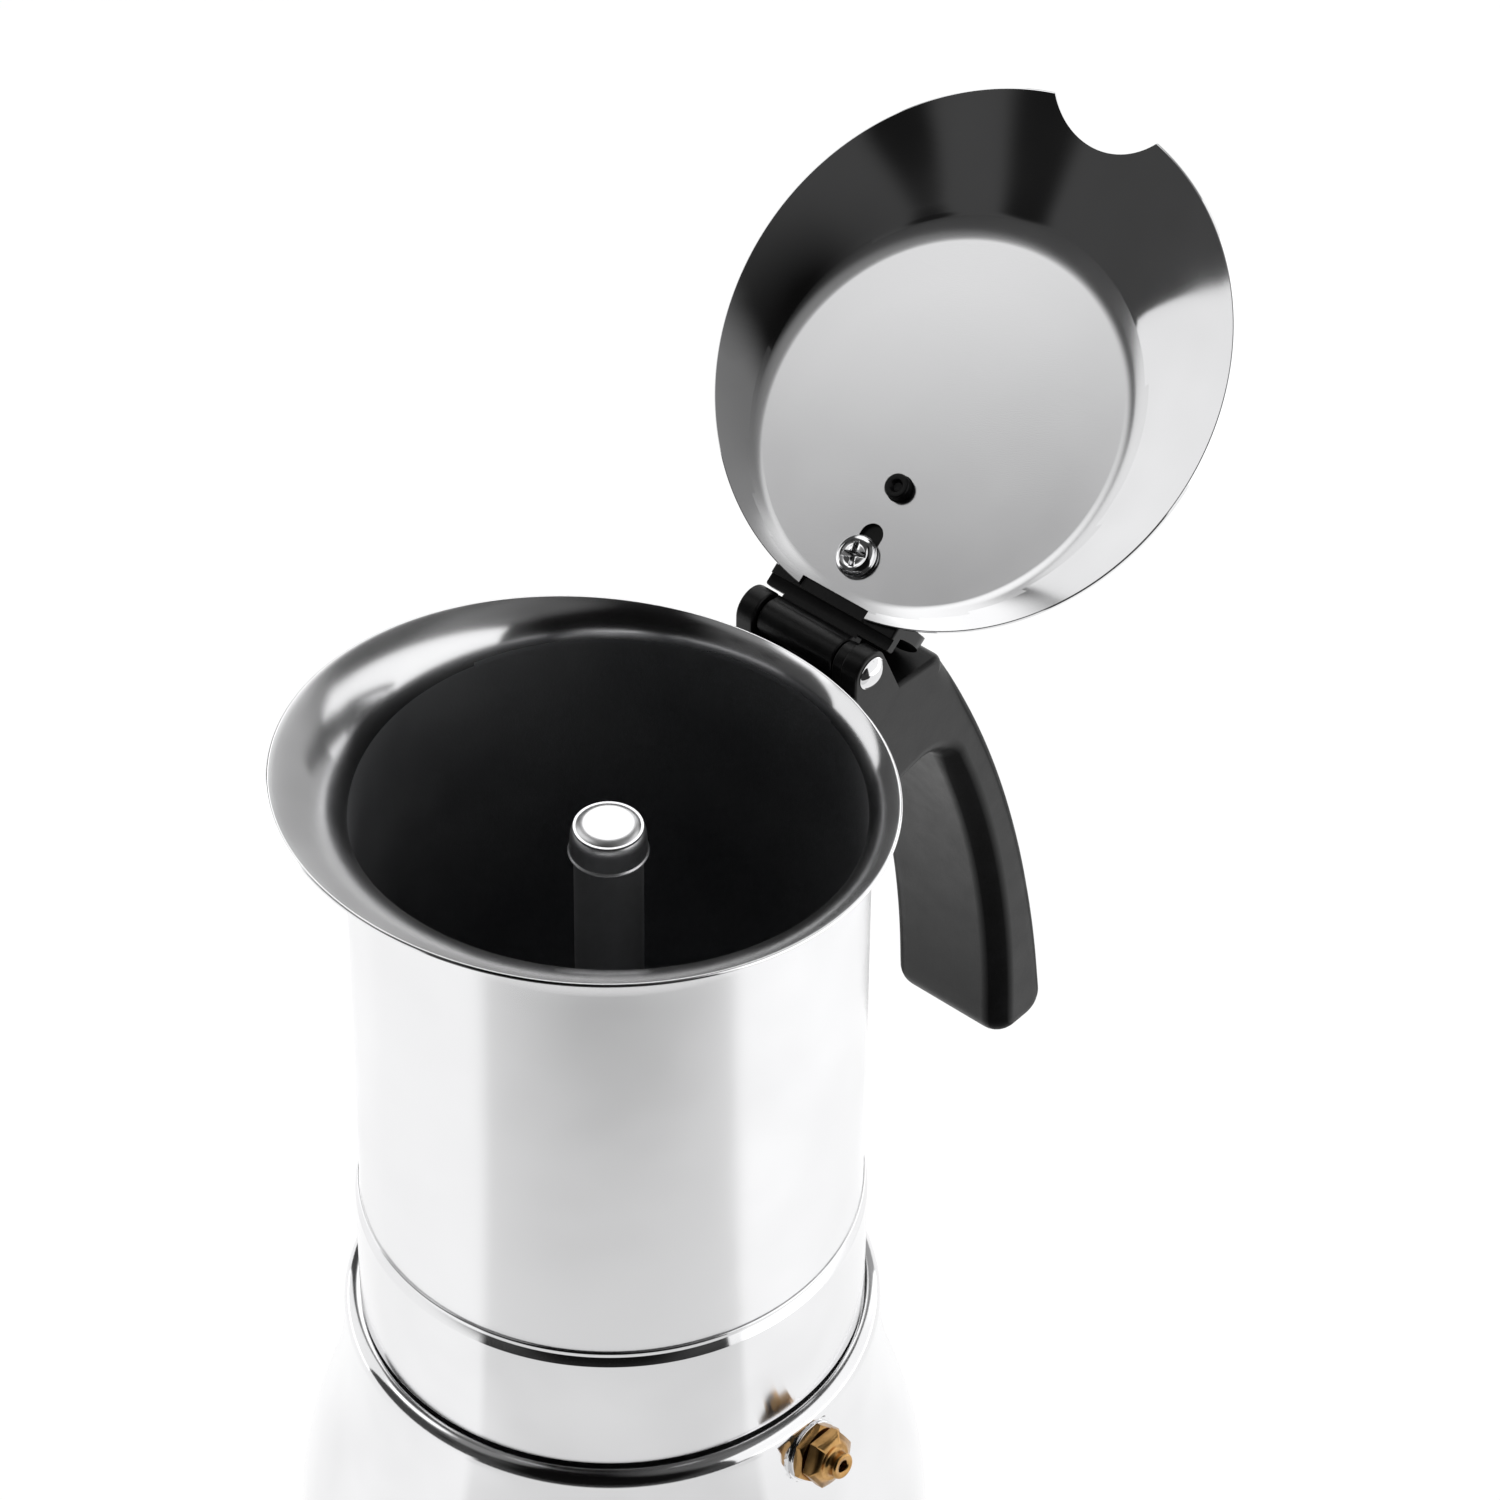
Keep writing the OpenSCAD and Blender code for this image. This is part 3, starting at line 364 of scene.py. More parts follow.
def phenolic():
    """Bakelite, compression moulded: black with faint mottling, dull and a little scratched on its faces,
    and darker on its long rounded edges, where a lowered specular level paints a band of shade"""
    material, tree, shader = new_material("bakelite_moulded")
    place_at = node(tree, "ShaderNodeTexCoord").outputs["Object"]
    mottling = node(tree, "ShaderNodeTexNoise", [(place_at, "Vector")], in_Scale=1 / (5 * mm), in_Detail=6.0, in_Roughness=0.65)
    tones = ramp(tree, mottling.outputs["Fac"], [(0.35, "#080808"), (0.7, "#121213")])
    # Painted shade: where the mesh's edge attribute is high, the specular level drops from 0.3 to 0.02 and darkens the
    # rounded edges
    painted_edge_shade = node(tree, "ShaderNodeAttribute", attribute_name="painted_edge_shade").outputs["Fac"]
    edge_shade_specular = node(tree, "ShaderNodeMapRange", [(painted_edge_shade, "Value")], in_1=0.0, in_2=0.7, in_3=0.3, in_4=0.02)
    tree.links.new(edge_shade_specular.outputs["Result"], shader.inputs["Specular IOR Level"])
    tree.links.new(tones, shader.inputs["Base Color"])
    spread = node(tree, "ShaderNodeMapRange", [(mottling.outputs["Fac"], "Value")])
    for key, value in {"From Min": 0.3, "From Max": 0.7, "To Min": 0.34, "To Max": 0.44}.items():
        spread.inputs[key].default_value = value
    tree.links.new(spread.outputs["Result"], shader.inputs["Roughness"])
    pits = node(tree, "ShaderNodeTexNoise", [(place_at, "Vector")], in_Scale=1 / (0.6 * mm), in_Detail=3.0)
    turned_about = node(tree, "ShaderNodeMapping", [(place_at, "Vector")], in_Rotation=(0.4, 0.7, 0.3), in_Scale=(1, 9, 1))
    scratches = node(tree, "ShaderNodeTexNoise", [(turned_about.outputs["Vector"], "Vector")], in_Scale=1 / (2.5 * mm), in_Detail=6.0,
                     in_Roughness=0.8)
    bump = node(tree, "ShaderNodeBump", [(pits.outputs["Fac"], "Height")], in_Strength=0.18, in_Distance=0.05 * mm)
    bump = node(tree, "ShaderNodeBump", [(scratches.outputs["Fac"], "Height"), (bump.outputs["Normal"], "Normal")],
                in_Strength=0.3, in_Distance=0.08 * mm)
    tree.links.new(bump.outputs["Normal"], shader.inputs["Normal"])
    shader.inputs["IOR"].default_value = 1.45
    return material


def turned_brass():
    """Brass hexagon bar turned and chamfered: yellow-brown, darker where it has tarnished"""
    material, tree, shader = new_material("brass_turned")
    shader.inputs["Metallic"].default_value = 1.0
    place_at = node(tree, "ShaderNodeTexCoord").outputs["Object"]
    stains = node(tree, "ShaderNodeTexNoise", [(place_at, "Vector")], in_Scale=1 / (2.2 * mm), in_Detail=5.0)
    tones = ramp(tree, stains.outputs["Fac"], [(0.3, "#9A7443"), (0.6, "#C49A62")])
    tree.links.new(tones, shader.inputs["Base Color"])
    shader.inputs["Roughness"].default_value = 0.28
    marks = node(tree, "ShaderNodeTexNoise", [(place_at, "Vector")], in_Scale=1 / (0.4 * mm), in_Detail=3.0)
    bump = node(tree, "ShaderNodeBump", [(marks.outputs["Fac"], "Height")], in_Strength=0.2, in_Distance=0.05 * mm)
    tree.links.new(bump.outputs["Normal"], shader.inputs["Normal"])
    return material


def silicone():
    """Translucent white silicone rubber, moulded: milky, soft sheen"""
    material, tree, shader = new_material("silicone_moulded")
    place_at = node(tree, "ShaderNodeTexCoord").outputs["Object"]
    haze = node(tree, "ShaderNodeTexNoise", [(place_at, "Vector")], in_Scale=1 / (9 * mm), in_Detail=2.0)
    tones = ramp(tree, haze.outputs["Fac"], [(0.3, "#D9D8D0"), (0.7, "#E6E5DE")])
    tree.links.new(tones, shader.inputs["Base Color"])
    shader.inputs["Roughness"].default_value = 0.45
    shader.inputs["Subsurface Weight"].default_value = 0.2
    shader.inputs["Subsurface Scale"].default_value = 0.002
    return material


bakelite = phenolic()
brass = turned_brass()
rubber = silicone()

# ------------------------------------------------------------------ jug

def flare_rings(offset=0.0):
    """Rings of the jug's skin from its foot up the round wall and out to the shifted, sloping rim"""
    middle = jug_r - jug_wall / 2
    up = [(0, z, middle, 0) for z in (floor_z, 110, 130, 150, 170, 185, bend_z - 3, bend_z)]
    steps = 18
    for k in range(1, steps + 1):
        lean = math.radians(flare_lean * k / steps)
        f = (1 - math.cos(lean)) / (1 - math.cos(math.radians(flare_lean)))
        g = math.sin(lean) / math.sin(math.radians(flare_lean))
        r = (1 - f) * middle + f * rim_r
        tilt = math.degrees(math.atan(g * rim_r * math.tan(math.radians(rim_tilt)) / r))
        up.append((-f * rim_shift, bend_z + g * rim_up, r, -tilt))
    return up


jug = rings("jug_wall_skin", flare_rings(), 216)
tidy_mesh()
edit(False)
apply(jug, "SOLIDIFY", thickness=jug_wall * mm, offset=0, use_even_offset=True)
apply(jug, "BEVEL", width=0.3 * mm, segments=3, limit_method="ANGLE", angle_limit=math.radians(60))
smoothed(wrapped(jug), 40)
dress(jug, "jug", "steel_satin", lathe_steel, "jug_body")
jug.data.materials.append(blasted_steel)
jug.data.materials.append(rim_steel)
for face in jug.data.polygons:
    c, n = face.center / mm, face.normal
    inwards = n.x * c.x + n.y * c.y < 0 or n.z > 0.35
    if c.z > bend_z + (1 if inwards else 4):
        face.material_index = 2
    elif inwards:
        face.material_index = 1

# Collar: a rolled lower edge, a straight band, a shoulder that leans in and a thin bead on the wall
collar = turned("collar_band", [(jug_r, collar_foot + 0.3), (jug_r + 0.15, collar_foot), (46.85, collar_foot)]
                + arc(46.75, collar_foot + 0.25, 0.25, -60, 0, 8)
                + [(47.0, 104.6), (46.66, 105.4), (46.22, 106.3), (46.22, 106.9)] + arc(46.2, 107.35, 0.42, -45, 90, 16), 256, 9)
dress(wrapped(collar), "jug", "steel_satin", fine_steel, "jug_collar")

# ------------------------------------------------------------------ column

column = turned("column_tube", [(5.4, 105.8), (6.2, 105.8), (6.2, 192.5), (5.4, 192.5)], 96)
cut(column, block("outlet", (0, -3, 181.1), (9, 3, 186.1)))
smoothed(column)
dress(column, "jug", "steel_raw", drawn_steel, "column")
cap = turned("column_cap_dome", [(6.22, 186.6), (7.05, 186.6)] + arc(7.0, 186.85, 0.25, -70, 60, 5)
             + [(6.95, 187.3), (6.8, 190.2)] + arc(3.9, 190.4, 2.88, 0, 82, 14) + [(2.2, 193.3), (0, 193.3), (0, 192.6), (6.22, 192.6)], 96)
dress(cap, "jug", "steel_polished", tumbled_steel, "column_cap")

# ------------------------------------------------------------------ boiler

bell_a = 2 * math.degrees(math.atan(10 / 61))
bell_r = 61 / (2 * math.sin(math.radians(bell_a)))


def boiler_side(t):
    return ([(0, 5 + t)] + arc(52, 13, 8 - t, -90, 0, 10) + arc(60 - bell_r, 14, bell_r - t, 0, bell_a, 16)
            + arc(50 + bell_r, 75, bell_r + t, 180 + bell_a, 180, 16)[1:] + arc(47, 75, 3 - t, 0, 90, 10)[1:] + [(43, 78 - t)])


boiler = turned("boiler_bell", boiler_side(0) + boiler_side(1.0)[::-1], 256)
cut(boiler, place(rod("land_face", 6.6, land, land + 5, 64), valve_place))
cut(boiler, place(rod("land_pad", 6.4, land - 1.8, land - 0.01, 64), valve_place), "UNION")
cut(boiler, place(rod("valve_hole", 3.2, land - 8, land + 8, 64), valve_place))
smoothed(wrapped(boiler), 30)
dress(boiler, "boiler", "steel_satin", fine_steel, "boiler_shell")

# Neck and the ring inside the collar, with the 3 mm thread cut into both
thread_pitch = 3.0
neck = turned("neck_threaded", [(38.5, 75.5), (45, 75.5), (45, 77), (43, 77), (43, 91.2), (42.2, 92), (38.5, 92)], 192)
cut(neck, coil("male_thread", [(43.4, 79.1), (42.3, 79.7), (42.3, 80.3), (43.4, 80.9)], thread_pitch, 5, 96))
smoothed(neck, 25)
dress(neck, "boiler", "steel_raw", raw_steel, "boiler_neck")

ring = turned("collar_ring_threaded", [(44.3, 80), (jug_r, 80), (jug_r, floor_z), (41.3, floor_z), (41.3, 92.3), (43.3, 92.3),
                                       (43.3, 81)], 192)
cut(ring, coil("female_thread", [(43.0, 77.4), (43.0, 79.2), (44.0, 78.6), (44.0, 78.0)], thread_pitch, 4, 96))
smoothed(ring, 25)
dress(ring, "jug", "steel_raw", raw_steel, "collar_thread")

# ------------------------------------------------------------------ lid

brim_up = lid_r * math.sin(math.radians(lid_dish))


def lid_rings():
    """Rings of the lid's inner face, from the flat disc over a soft crease to the sloping brim"""
    width = 0.12
    made = []
    for t in [-0.5, -width, -0.08, -0.04, 0, 0.04, 0.08, width, 0.2, 0.3, 0.4, 0.5, 0.6, 0.7, 0.8, 0.9, 1.0]:
        lift = 0 if t <= -width else (t + width) ** 2 / (4 * width) if t < width else t
        r = disc_r + (lid_r - disc_r) * t
        tilt = math.degrees(math.atan(brim_up * lift / r))
        made.append((disc_x + (lid_centre - disc_x) * t, lid_rise + brim_up * lift, r, tilt))
    return made


lid = rings("lid_dish", lid_rings(), 240)
bpy.ops.mesh.select_all(action="DESELECT")
edit(False)
first = lid_rings()[0]
for vertex in lid.data.vertices:
    c = vertex.co / mm
    vertex.select = math.hypot(c.x - first[0], c.y) < first[2] + 0.01
edit()
bpy.ops.mesh.edge_face_add()
tidy_mesh()
edit(False)
if sum(f.normal.z * f.area for f in lid.data.polygons) < 0:
    edit()
    bpy.ops.mesh.select_all(action="SELECT")
    bpy.ops.mesh.flip_normals()
    edit(False)
apply(lid, "SOLIDIFY", thickness=lid_wall * mm, offset=-1, use_even_offset=True)
apply(lid, "BEVEL", width=0.2 * mm, segments=2, limit_method="ANGLE", angle_limit=math.radians(50))
cut(lid, block("hinge_cut", (-5, -7.6, -5), (9.3, 7.6, 7)))
cut(lid, rod("notch", 15, -5, 25, 128, x=115.9))
slot_tool = rod("slot_a", 2.3, -5, 7, 40, x=screw_x)
cut(slot_tool, rod("slot_b", 2.3, -5, 7, 40, x=screw_x + 4.6), "UNION")
cut(slot_tool, block("slot_c", (screw_x, -2.3, -5), (screw_x + 4.6, 2.3, 7)), "UNION")
cut(lid, slot_tool)
cut(lid, rod("peg_hole", 2.6, -5, 7, 48, x=peg_x))
place(lid, lid_place)
smoothed(lid, 20)
dress(lid, "lid", "steel_polished", mirror_steel, "lid")
lid.data.materials.append(satin_steel)
lid_inverse = lid_place.inverted()
for face in lid.data.polygons:
    c = lid_inverse @ face.center / mm
    if math.hypot(c.x - disc_x, c.y) < disc_r + 2 and c.z > lid_rise - 0.2:
        face.material_index = 1

# ------------------------------------------------------------------ safety valve

def hexagon(name, flats, z0, z1, turn=0.0):
    piece = rod(name, flats / 2 / math.cos(math.radians(30)), z0, z1, 6)
    return place(piece, Matrix.Rotation(math.radians(turn), 4, "Z"))


def cone(name, r0, z0, r1, z1, steps=96):
    return turned(name, [(0, z0), (r0, z0), (r1, z1), (0, z1)], steps)


washer_top = land + 0.7
hex_z = washer_top + 1.6 + 0.5
hex_top = hex_z + 2.8

valve = hexagon("valve_body_turned", valve_flats, hex_z, hex_top)
soften(valve, 0.12, 2, 20)
cut(valve, cone("hex_front", 8.64, hex_z, 3.6, hex_top), "INTERSECT")
stem = turned("valve_stem", [(0, land - 7.2), (2.9, land - 7.2), (3.18, land - 6.9), (3.18, land - 0.2), (2.9, land), (2.9, hex_z + 0.2), (0, hex_z + 0.2)], 64)
cut(valve, stem, "UNION")
nozzle = turned("valve_nozzle", [(0, hex_top - 0.2), (3.1, hex_top - 0.2)] + arc(3.1, hex_top + 0.7, 0.7, -90, -165, 6)
                + [(2.38, hex_top + 1.3)] + arc(2.05, hex_top + 1.85, 0.5, -20, 120, 8) + [(1.7, hex_top + 2.25), (0, hex_top + 2.25)], 96)
cut(valve, nozzle, "UNION")
cut(valve, turned("steam_bore", [(0, land + 3.6), (1.2, land + 3.6), (1.2, hex_top + 2.0), (1.6, hex_top + 2.6), (0, hex_top + 2.6)], 64))
cut(valve, rod("spring_bore", 1.85, land - 9, land + 3.7, 64))
smoothed(place(valve, valve_place), 28)
dress(valve, "boiler", "brass", brass, "valve_body")

locknut = hexagon("valve_locknut_turned", valve_flats + 0.6, washer_top, washer_top + 1.6, 17)
cut(locknut, cone("nut_front", 6.9, washer_top, 5.5, washer_top + 1.6), "INTERSECT")
soften(locknut, 0.12, 2, 20)
cut(locknut, rod("nut_bore", 3.2, land - 1, land + 4, 64))
smoothed(place(locknut, valve_place), 28)
dress(locknut, "boiler", "brass", brass, "valve_locknut")

washer = turned("valve_washer_pressed", [(3.2, land), (6.0, land), (6.0, land + 0.45)] + arc(5.75, land + 0.45, 0.25, 0, 90, 4)
                + [(3.2, land + 0.7)], 96)
smoothed(place(washer, valve_place), 28)
dress(washer, "boiler", "steel_polished", mirror_steel, "valve_washer")

# ------------------------------------------------------------------ handle


# Spring between the ball and the end of its bore, which the ball presses together
wire_r, spring_low, spring_high, spring_turns = 0.22, land - 2.86, land + 3.58, 6
spring_pitch = (spring_high - spring_low - 2 * wire_r) / spring_turns
spring = coil("valve_spring_coil", arc(1.48, spring_low + wire_r, wire_r, 0, 324, 9), spring_pitch, spring_turns, 24)
smoothed(place(spring, valve_place), 50)
dress(spring, "boiler", "steel_raw", raw_steel, "valve_spring")
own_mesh(spring)


def bulging(p, q, r):
    """Centre of an arc of radius r from p down to q that bulges away from the pot, and its two angles"""
    chord = q - p
    centre = (p + q) / 2 + math.sqrt(r * r - chord.length_squared / 4) * Vector((chord.y, -chord.x)).normalized()
    return centre, *(math.degrees(math.atan2(e.y - centre.y, e.x - centre.x)) for e in (p, q))


def corner(at, come, leave, r, steps=12):
    """Arc that rounds a corner of an outline, which comes along one direction and leaves along another"""
    side = math.copysign(1, come.x * leave.y - come.y * leave.x)
    turn = math.degrees(math.acos(come.dot(leave)))
    start = at - come * r * math.tan(math.radians(turn / 2))
    centre = start + side * r * Vector((-come.y, come.x))
    first = math.degrees(math.atan2(start.y - centre.y, start.x - centre.x))
    return arc(centre.x, centre.y, r, first, first + side * turn, steps)


def down(angle):
    """Direction down a curve at an angle of its circle"""
    return Vector((math.sin(math.radians(angle)), -math.cos(math.radians(angle))))


def handle_outline():
    """The handle from its side: the arm's underside, the finger side, the foot, the back, the arm's top"""
    low, high = Vector((arm_front, arm_low)), Vector((arm_front, arm_top))
    head, palm = Vector((74.8, arm_top - 1.7)), Vector((76.2, arm_low + 1.5))
    back, front = Vector((grip_back, foot_z)), Vector((grip_back - grip_depth, foot_z))
    back_o, back_1, back_0 = bulging(head, back, back_curve)
    finger_o, finger_0, finger_1 = bulging(palm, front, finger_curve)
    under, over, along = (palm - low).normalized(), (high - head).normalized(), Vector((1, 0))
    return (corner(low, Vector((0, -1)), under, 3.5)
            + corner(palm, under, down(finger_0), 9)
            + arc(finger_o.x, finger_o.y, finger_curve, finger_0 - 4, finger_1 + 2, 40)
            + corner(front, down(finger_1), along, 5.4)
            + corner(back, along, -down(back_0), 5.6)
            + arc(back_o.x, back_o.y, back_curve, back_0 + 2, back_1 - 2, 48)
            + corner(head, -down(back_1), over, 5.2)
            + corner(high, over, Vector((0, -1)), 3.5))


def grip_skin(name, outline, steps=8):
    """The handle drawn as rings across its width. Its sides lean in from the hinge to the foot, and
    its long edges are rounded: fully on the grip, crisply along the arm and on its top."""
    points = [Vector(p) for p in outline]
    turns = [90 - 90 * k / steps for k in range(steps + 1)]
    levels = [(-1, a) for a in turns] + [(1, a) for a in reversed(turns)]
    piece = start_point(name, points[0].x, 0, points[0].y)
    for here, there in zip(points, points[1:] + points[:1]):
        bpy.ops.mesh.extrude_region_move(TRANSFORM_OT_translate={"value": ((there.x - here.x) * mm, 0, (there.y - here.y) * mm)})
    bpy.ops.mesh.select_all(action="SELECT")
    bpy.ops.mesh.remove_doubles(threshold=2e-6)
    bpy.ops.mesh.select_all(action="SELECT")
    for level in levels[1:]:
        bpy.ops.mesh.extrude_region_move(TRANSFORM_OT_translate={"value": (0, mm, 0)})
    edit(False)
    for vertex in piece.data.vertices:
        x, y, z = vertex.co / mm
        i = min(range(len(points)), key=lambda k: (points[k] - Vector((x, z))).length_squared)
        side, turn = levels[round(y)]
        edge = (points[(i + 1) % len(points)] - points[i - 1]).normalized()
        out = Vector((edge.y, -edge.x))
        run = min(1, max(0, (x - jug_r - 5) / 17)) * min(1, 1.3 * (1 - max(0, out.y)))
        r = arm_edge + (grip_edge - arm_edge) * run
        at = points[i] - out * r * (1 - math.cos(math.radians(turn)))
        half = grip_foot_half + (hinge_half - grip_foot_half) * (at.y - foot_z) / (hinge_z - foot_z)
        vertex.co = Vector((at.x, side * (half - r * (1 - math.sin(math.radians(turn)))), at.y)) * mm
    edit()
    bpy.ops.mesh.select_all(action="DESELECT")
    bpy.ops.mesh.select_non_manifold()
    bpy.ops.mesh.fill_holes(sides=0)
    tidy_mesh()
    edit(False)
    return piece


def knuckle(name, y0, y1, r=knuckle_r, run_out=9.0):
    """A hinge ear: round the pin at the top, its foot running out along the arm"""
    top_angle = 35 if run_out > r else 0
    return soften(slab(name, [(hinge_x - r, arm_top - 3), (hinge_x + run_out, arm_top - 3)]
                       + arc(hinge_x, hinge_z, r, top_angle, 180, 28), y0, y1), 0.5, 3, 60)


ear_in = hinge_half - knuckle_w
grip = grip_skin("handle_moulding", handle_outline())
cut(grip, knuckle("near_ear", -hinge_half + 0.02, -ear_in), "UNION")
cut(grip, knuckle("far_ear", ear_in, hinge_half - 0.02), "UNION")
cut(grip, knuckle("near_ear_inner", -ear_in - 1, -ear_in + 2.4, 3.5, 3.5), "UNION")
cut(grip, slab("jug_clearance", [(0, 0)] + arc(0, 0, jug_r + 1, -30, 30, 48), arm_low - 5, arm_low + 55, flat=True))
cut(grip, slab("pin_bore", arc(hinge_x, hinge_z, 1.5, 0, 352.5, 47), -30, 30))
cut(grip, block("tongue_slot", (0, -4.7, arm_low + 8.8), (66.5, 4.7, arm_low + 12.2)))
cut(grip, rod("screw_hole", 2.2, arm_low - 5, arm_low + 25, x=58))
cut(grip, rod("screw_sink", 4.0, arm_low - 5, arm_low + 4, x=58))
cut(grip, block("pad_recess", (0, -8.2, arm_low + 2), (jug_r + 1.2, 8.2, arm_low + 23)))
smoothed(grip, 28)
# Painted shade: a band along the grip's rounded long edges, strongest where the surface turns halfway between its side
# and its front or back, from 68 mm out from the axis; the bakelite darkens it
painted_edge_shade = grip.data.attributes.new("painted_edge_shade", "FLOAT", "POINT")
for vertex, normal in zip(grip.data.vertices, grip.data.vertex_normals):
    lean = abs(normal.vector.y)
    painted_edge_shade.data[vertex.index].value = 2 * lean * math.sqrt(max(0, 1 - lean * lean)) * min(1, max(0, (vertex.co.x / mm - 68) / 14))
dress(grip, "jug", "bakelite", bakelite, "handle")

pin_end = hinge_half + 1.5
dome_r = (3.2 * 3.2 + 1.5 * 1.5) / 3.0
dome_open = math.degrees(math.asin(3.2 / dome_r))
pin = turned("hinge_pin_domed", [(1.5, hinge_half + 0.01), (3.05, hinge_half + 0.01), (3.17, hinge_half + 0.1)]
             + arc(0, pin_end - dome_r, dome_r, 90 - dome_open + 3, 90, 16)
             + arc(0, dome_r - pin_end, dome_r, -90, dome_open - 93, 16)
             + [(3.17, -hinge_half - 0.1), (3.05, -hinge_half - 0.01), (1.5, -hinge_half - 0.01)], 72)
place(pin, Matrix.Translation((hinge_x * mm, 0, hinge_z * mm)) @ Matrix.Rotation(math.radians(90), 4, "X"))
smoothed(pin, 40)
dress(pin, "jug", "steel_polished", mirror_steel, "hinge_pin")

# ------------------------------------------------------------------ lid bracket and screw

lid_out = lid_rise - lid_wall
plate_low = lid_out - 3.0
barrel_half = hinge_half - knuckle_w - 0.3

bracket = slab("lid_bracket_moulding", [(4.8, -hinge_half), (15, -hinge_half)] + arc(peg_x, 0, 7.5, -60, 60, 24)
               + [(15, hinge_half), (4.8, hinge_half)], plate_low, lid_out, flat=True)
soften(bracket, 0.5, 3, 60)
barrel = slab("bracket_barrel", [(4.8, plate_low), (4.8, lid_out)] + arc(0, 0, 3.4, 30, 290, 40), 2.4 - barrel_half, barrel_half)
cut(bracket, soften(barrel, 0.35, 3, 60), "UNION")
cut(bracket, soften(block("lid_step", (6.1, -7.4, plate_low + 0.5), (10.1, 7.4, lid_rise - 0.6)), 0.3), "UNION")
cut(bracket, rod("screw_boss", 5, plate_low - 4, plate_low + 0.5, 64, x=screw_x), "UNION")
peg = turned("locating_peg", [(0, plate_low + 1), (2.4, plate_low + 1), (2.4, lid_rise + 1.6)] + arc(2.0, lid_rise + 1.6, 0.4, 0, 90, 5)
             + [(1.3, lid_rise + 1.95), (0.8, lid_rise + 1.2), (0, lid_rise + 1.2)], 64)
cut(bracket, place(peg, Matrix.Translation((peg_x * mm, 0, 0))), "UNION")
tab_tip, tab_root = lid_out - 16.4, lid_out - 1.0
tab_middle = (tab_tip + tab_root) / 2
tab = block("thumb_tab", (6.4, -hinge_half, tab_tip), (13.0, hinge_half, tab_root))
for x in (8.6 - 30, 11.0 + 30):
    cut(tab, slab("thumb_hollow", arc(x, tab_middle, 30, 0, 358, 179), -20, 20))
shape = slab("tab_outline", arc(8 - hinge_half, tab_tip + 8, 8, 180, 270, 16) + arc(hinge_half - 8, tab_tip + 8, 8, 270, 360, 16)
             + [(hinge_half, tab_root + 1), (-hinge_half, tab_root + 1)], -2, 28, flat=True)
place(shape, Matrix.Rotation(math.radians(90), 4, "Z") @ Matrix.Rotation(math.radians(90), 4, "X"))
cut(tab, shape, "INTERSECT")
cut(bracket, soften(tab, 0.6, 3, 55), "UNION")
cut(bracket, slab("pin_bore", arc(0, 0, 1.55, 0, 352.5, 47), -30, 30))
cut(bracket, block("rim_relief", (4.0, -30, lid_out - 0.8), (7.1, 30, lid_out + 9)))
cut(bracket, rod("insert_hole", 3, plate_low - 5, lid_out + 1, 48, x=screw_x))
smoothed(place(bracket, lid_place), 30)
dress(bracket, "lid", "bakelite", bakelite, "lid_bracket")

screw = turned("lid_screw_pan_head", [(0, lid_rise - 5.5), (1.6, lid_rise - 5.5), (1.95, lid_rise - 5.1), (1.95, lid_rise), (3.85, lid_rise),
                                      (4.0, lid_rise + 0.15), (3.98, lid_rise + 0.9)] + arc(2.3, lid_rise + 0.5, 1.7, 15, 75, 8)
               + arc(0, lid_rise - 8.2, 10.4, 78, 90, 6), 80)
recess = block("recess_a", (-2.3, -0.5, lid_rise - 0.6), (2.3, 0.5, lid_rise + 4))
cut(recess, block("recess_b", (-0.5, -2.3, lid_rise - 0.6), (0.5, 2.3, lid_rise + 4)), "UNION")
cut(recess, cone("recess_taper", 1.3, lid_rise - 0.7, 2.4, lid_rise + 2.4), "INTERSECT")
cut(screw, place(recess, Matrix.Rotation(math.radians(20), 4, "Z")))
place(screw, lid_place @ Matrix.Translation((screw_x * mm, 0, 0)))
smoothed(screw, 35)
dress(screw, "lid", "steel_polished", mirror_steel, "lid_screw")

# ------------------------------------------------------------------ the CAD's other nodes

for name, material in {
        "heat_base": ground_steel, "valve_inner_seal": rubber, "valve_inner_nut": brass, "valve_seat": brass,
        "valve_ball": mirror_steel, "funnel": raw_steel, "funnel_disc": raw_steel,
        "gasket": rubber, "filter_plate": raw_steel, "jug_floor": blasted_steel,
        "handle_bracket": raw_steel, "handle_screw": mirror_steel, "lid_screw_insert": brass}.items():
    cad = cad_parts[name]
    cad.data.materials.clear()
    cad.data.materials.append(material)

# ------------------------------------------------------------------ studio

def ray_is(tree, *kinds):
    """1 where the ray is one of these kinds"""
    path = node(tree, "ShaderNodeLightPath")
    total = path.outputs[kinds[0]]
    for kind in kinds[1:]:
        total = node(tree, "ShaderNodeMath", [(total, 0), (path.outputs[kind], 1)], operation="MAXIMUM").outputs[0]
    return total


bpy.ops.mesh.primitive_plane_add(size=12)
floor = bpy.context.object
floor.name = "floor"
paper, tree, shader = new_material("white_paper")
shader.inputs["Base Color"].default_value = colour("#F2F2F2")
shader.inputs["Roughness"].default_value = 0.9
spot = node(tree, "ShaderNodeTexCoord").outputs["Object"]


def along_floor(azimuth):
    """How far a point of the floor lies in a direction, in metres"""
    a = math.radians(azimuth)
    return node(tree, "ShaderNodeVectorMath", [(spot, 0)], operation="DOT_PRODUCT", in_1=(math.cos(a), math.sin(a), 0)).outputs["Value"]


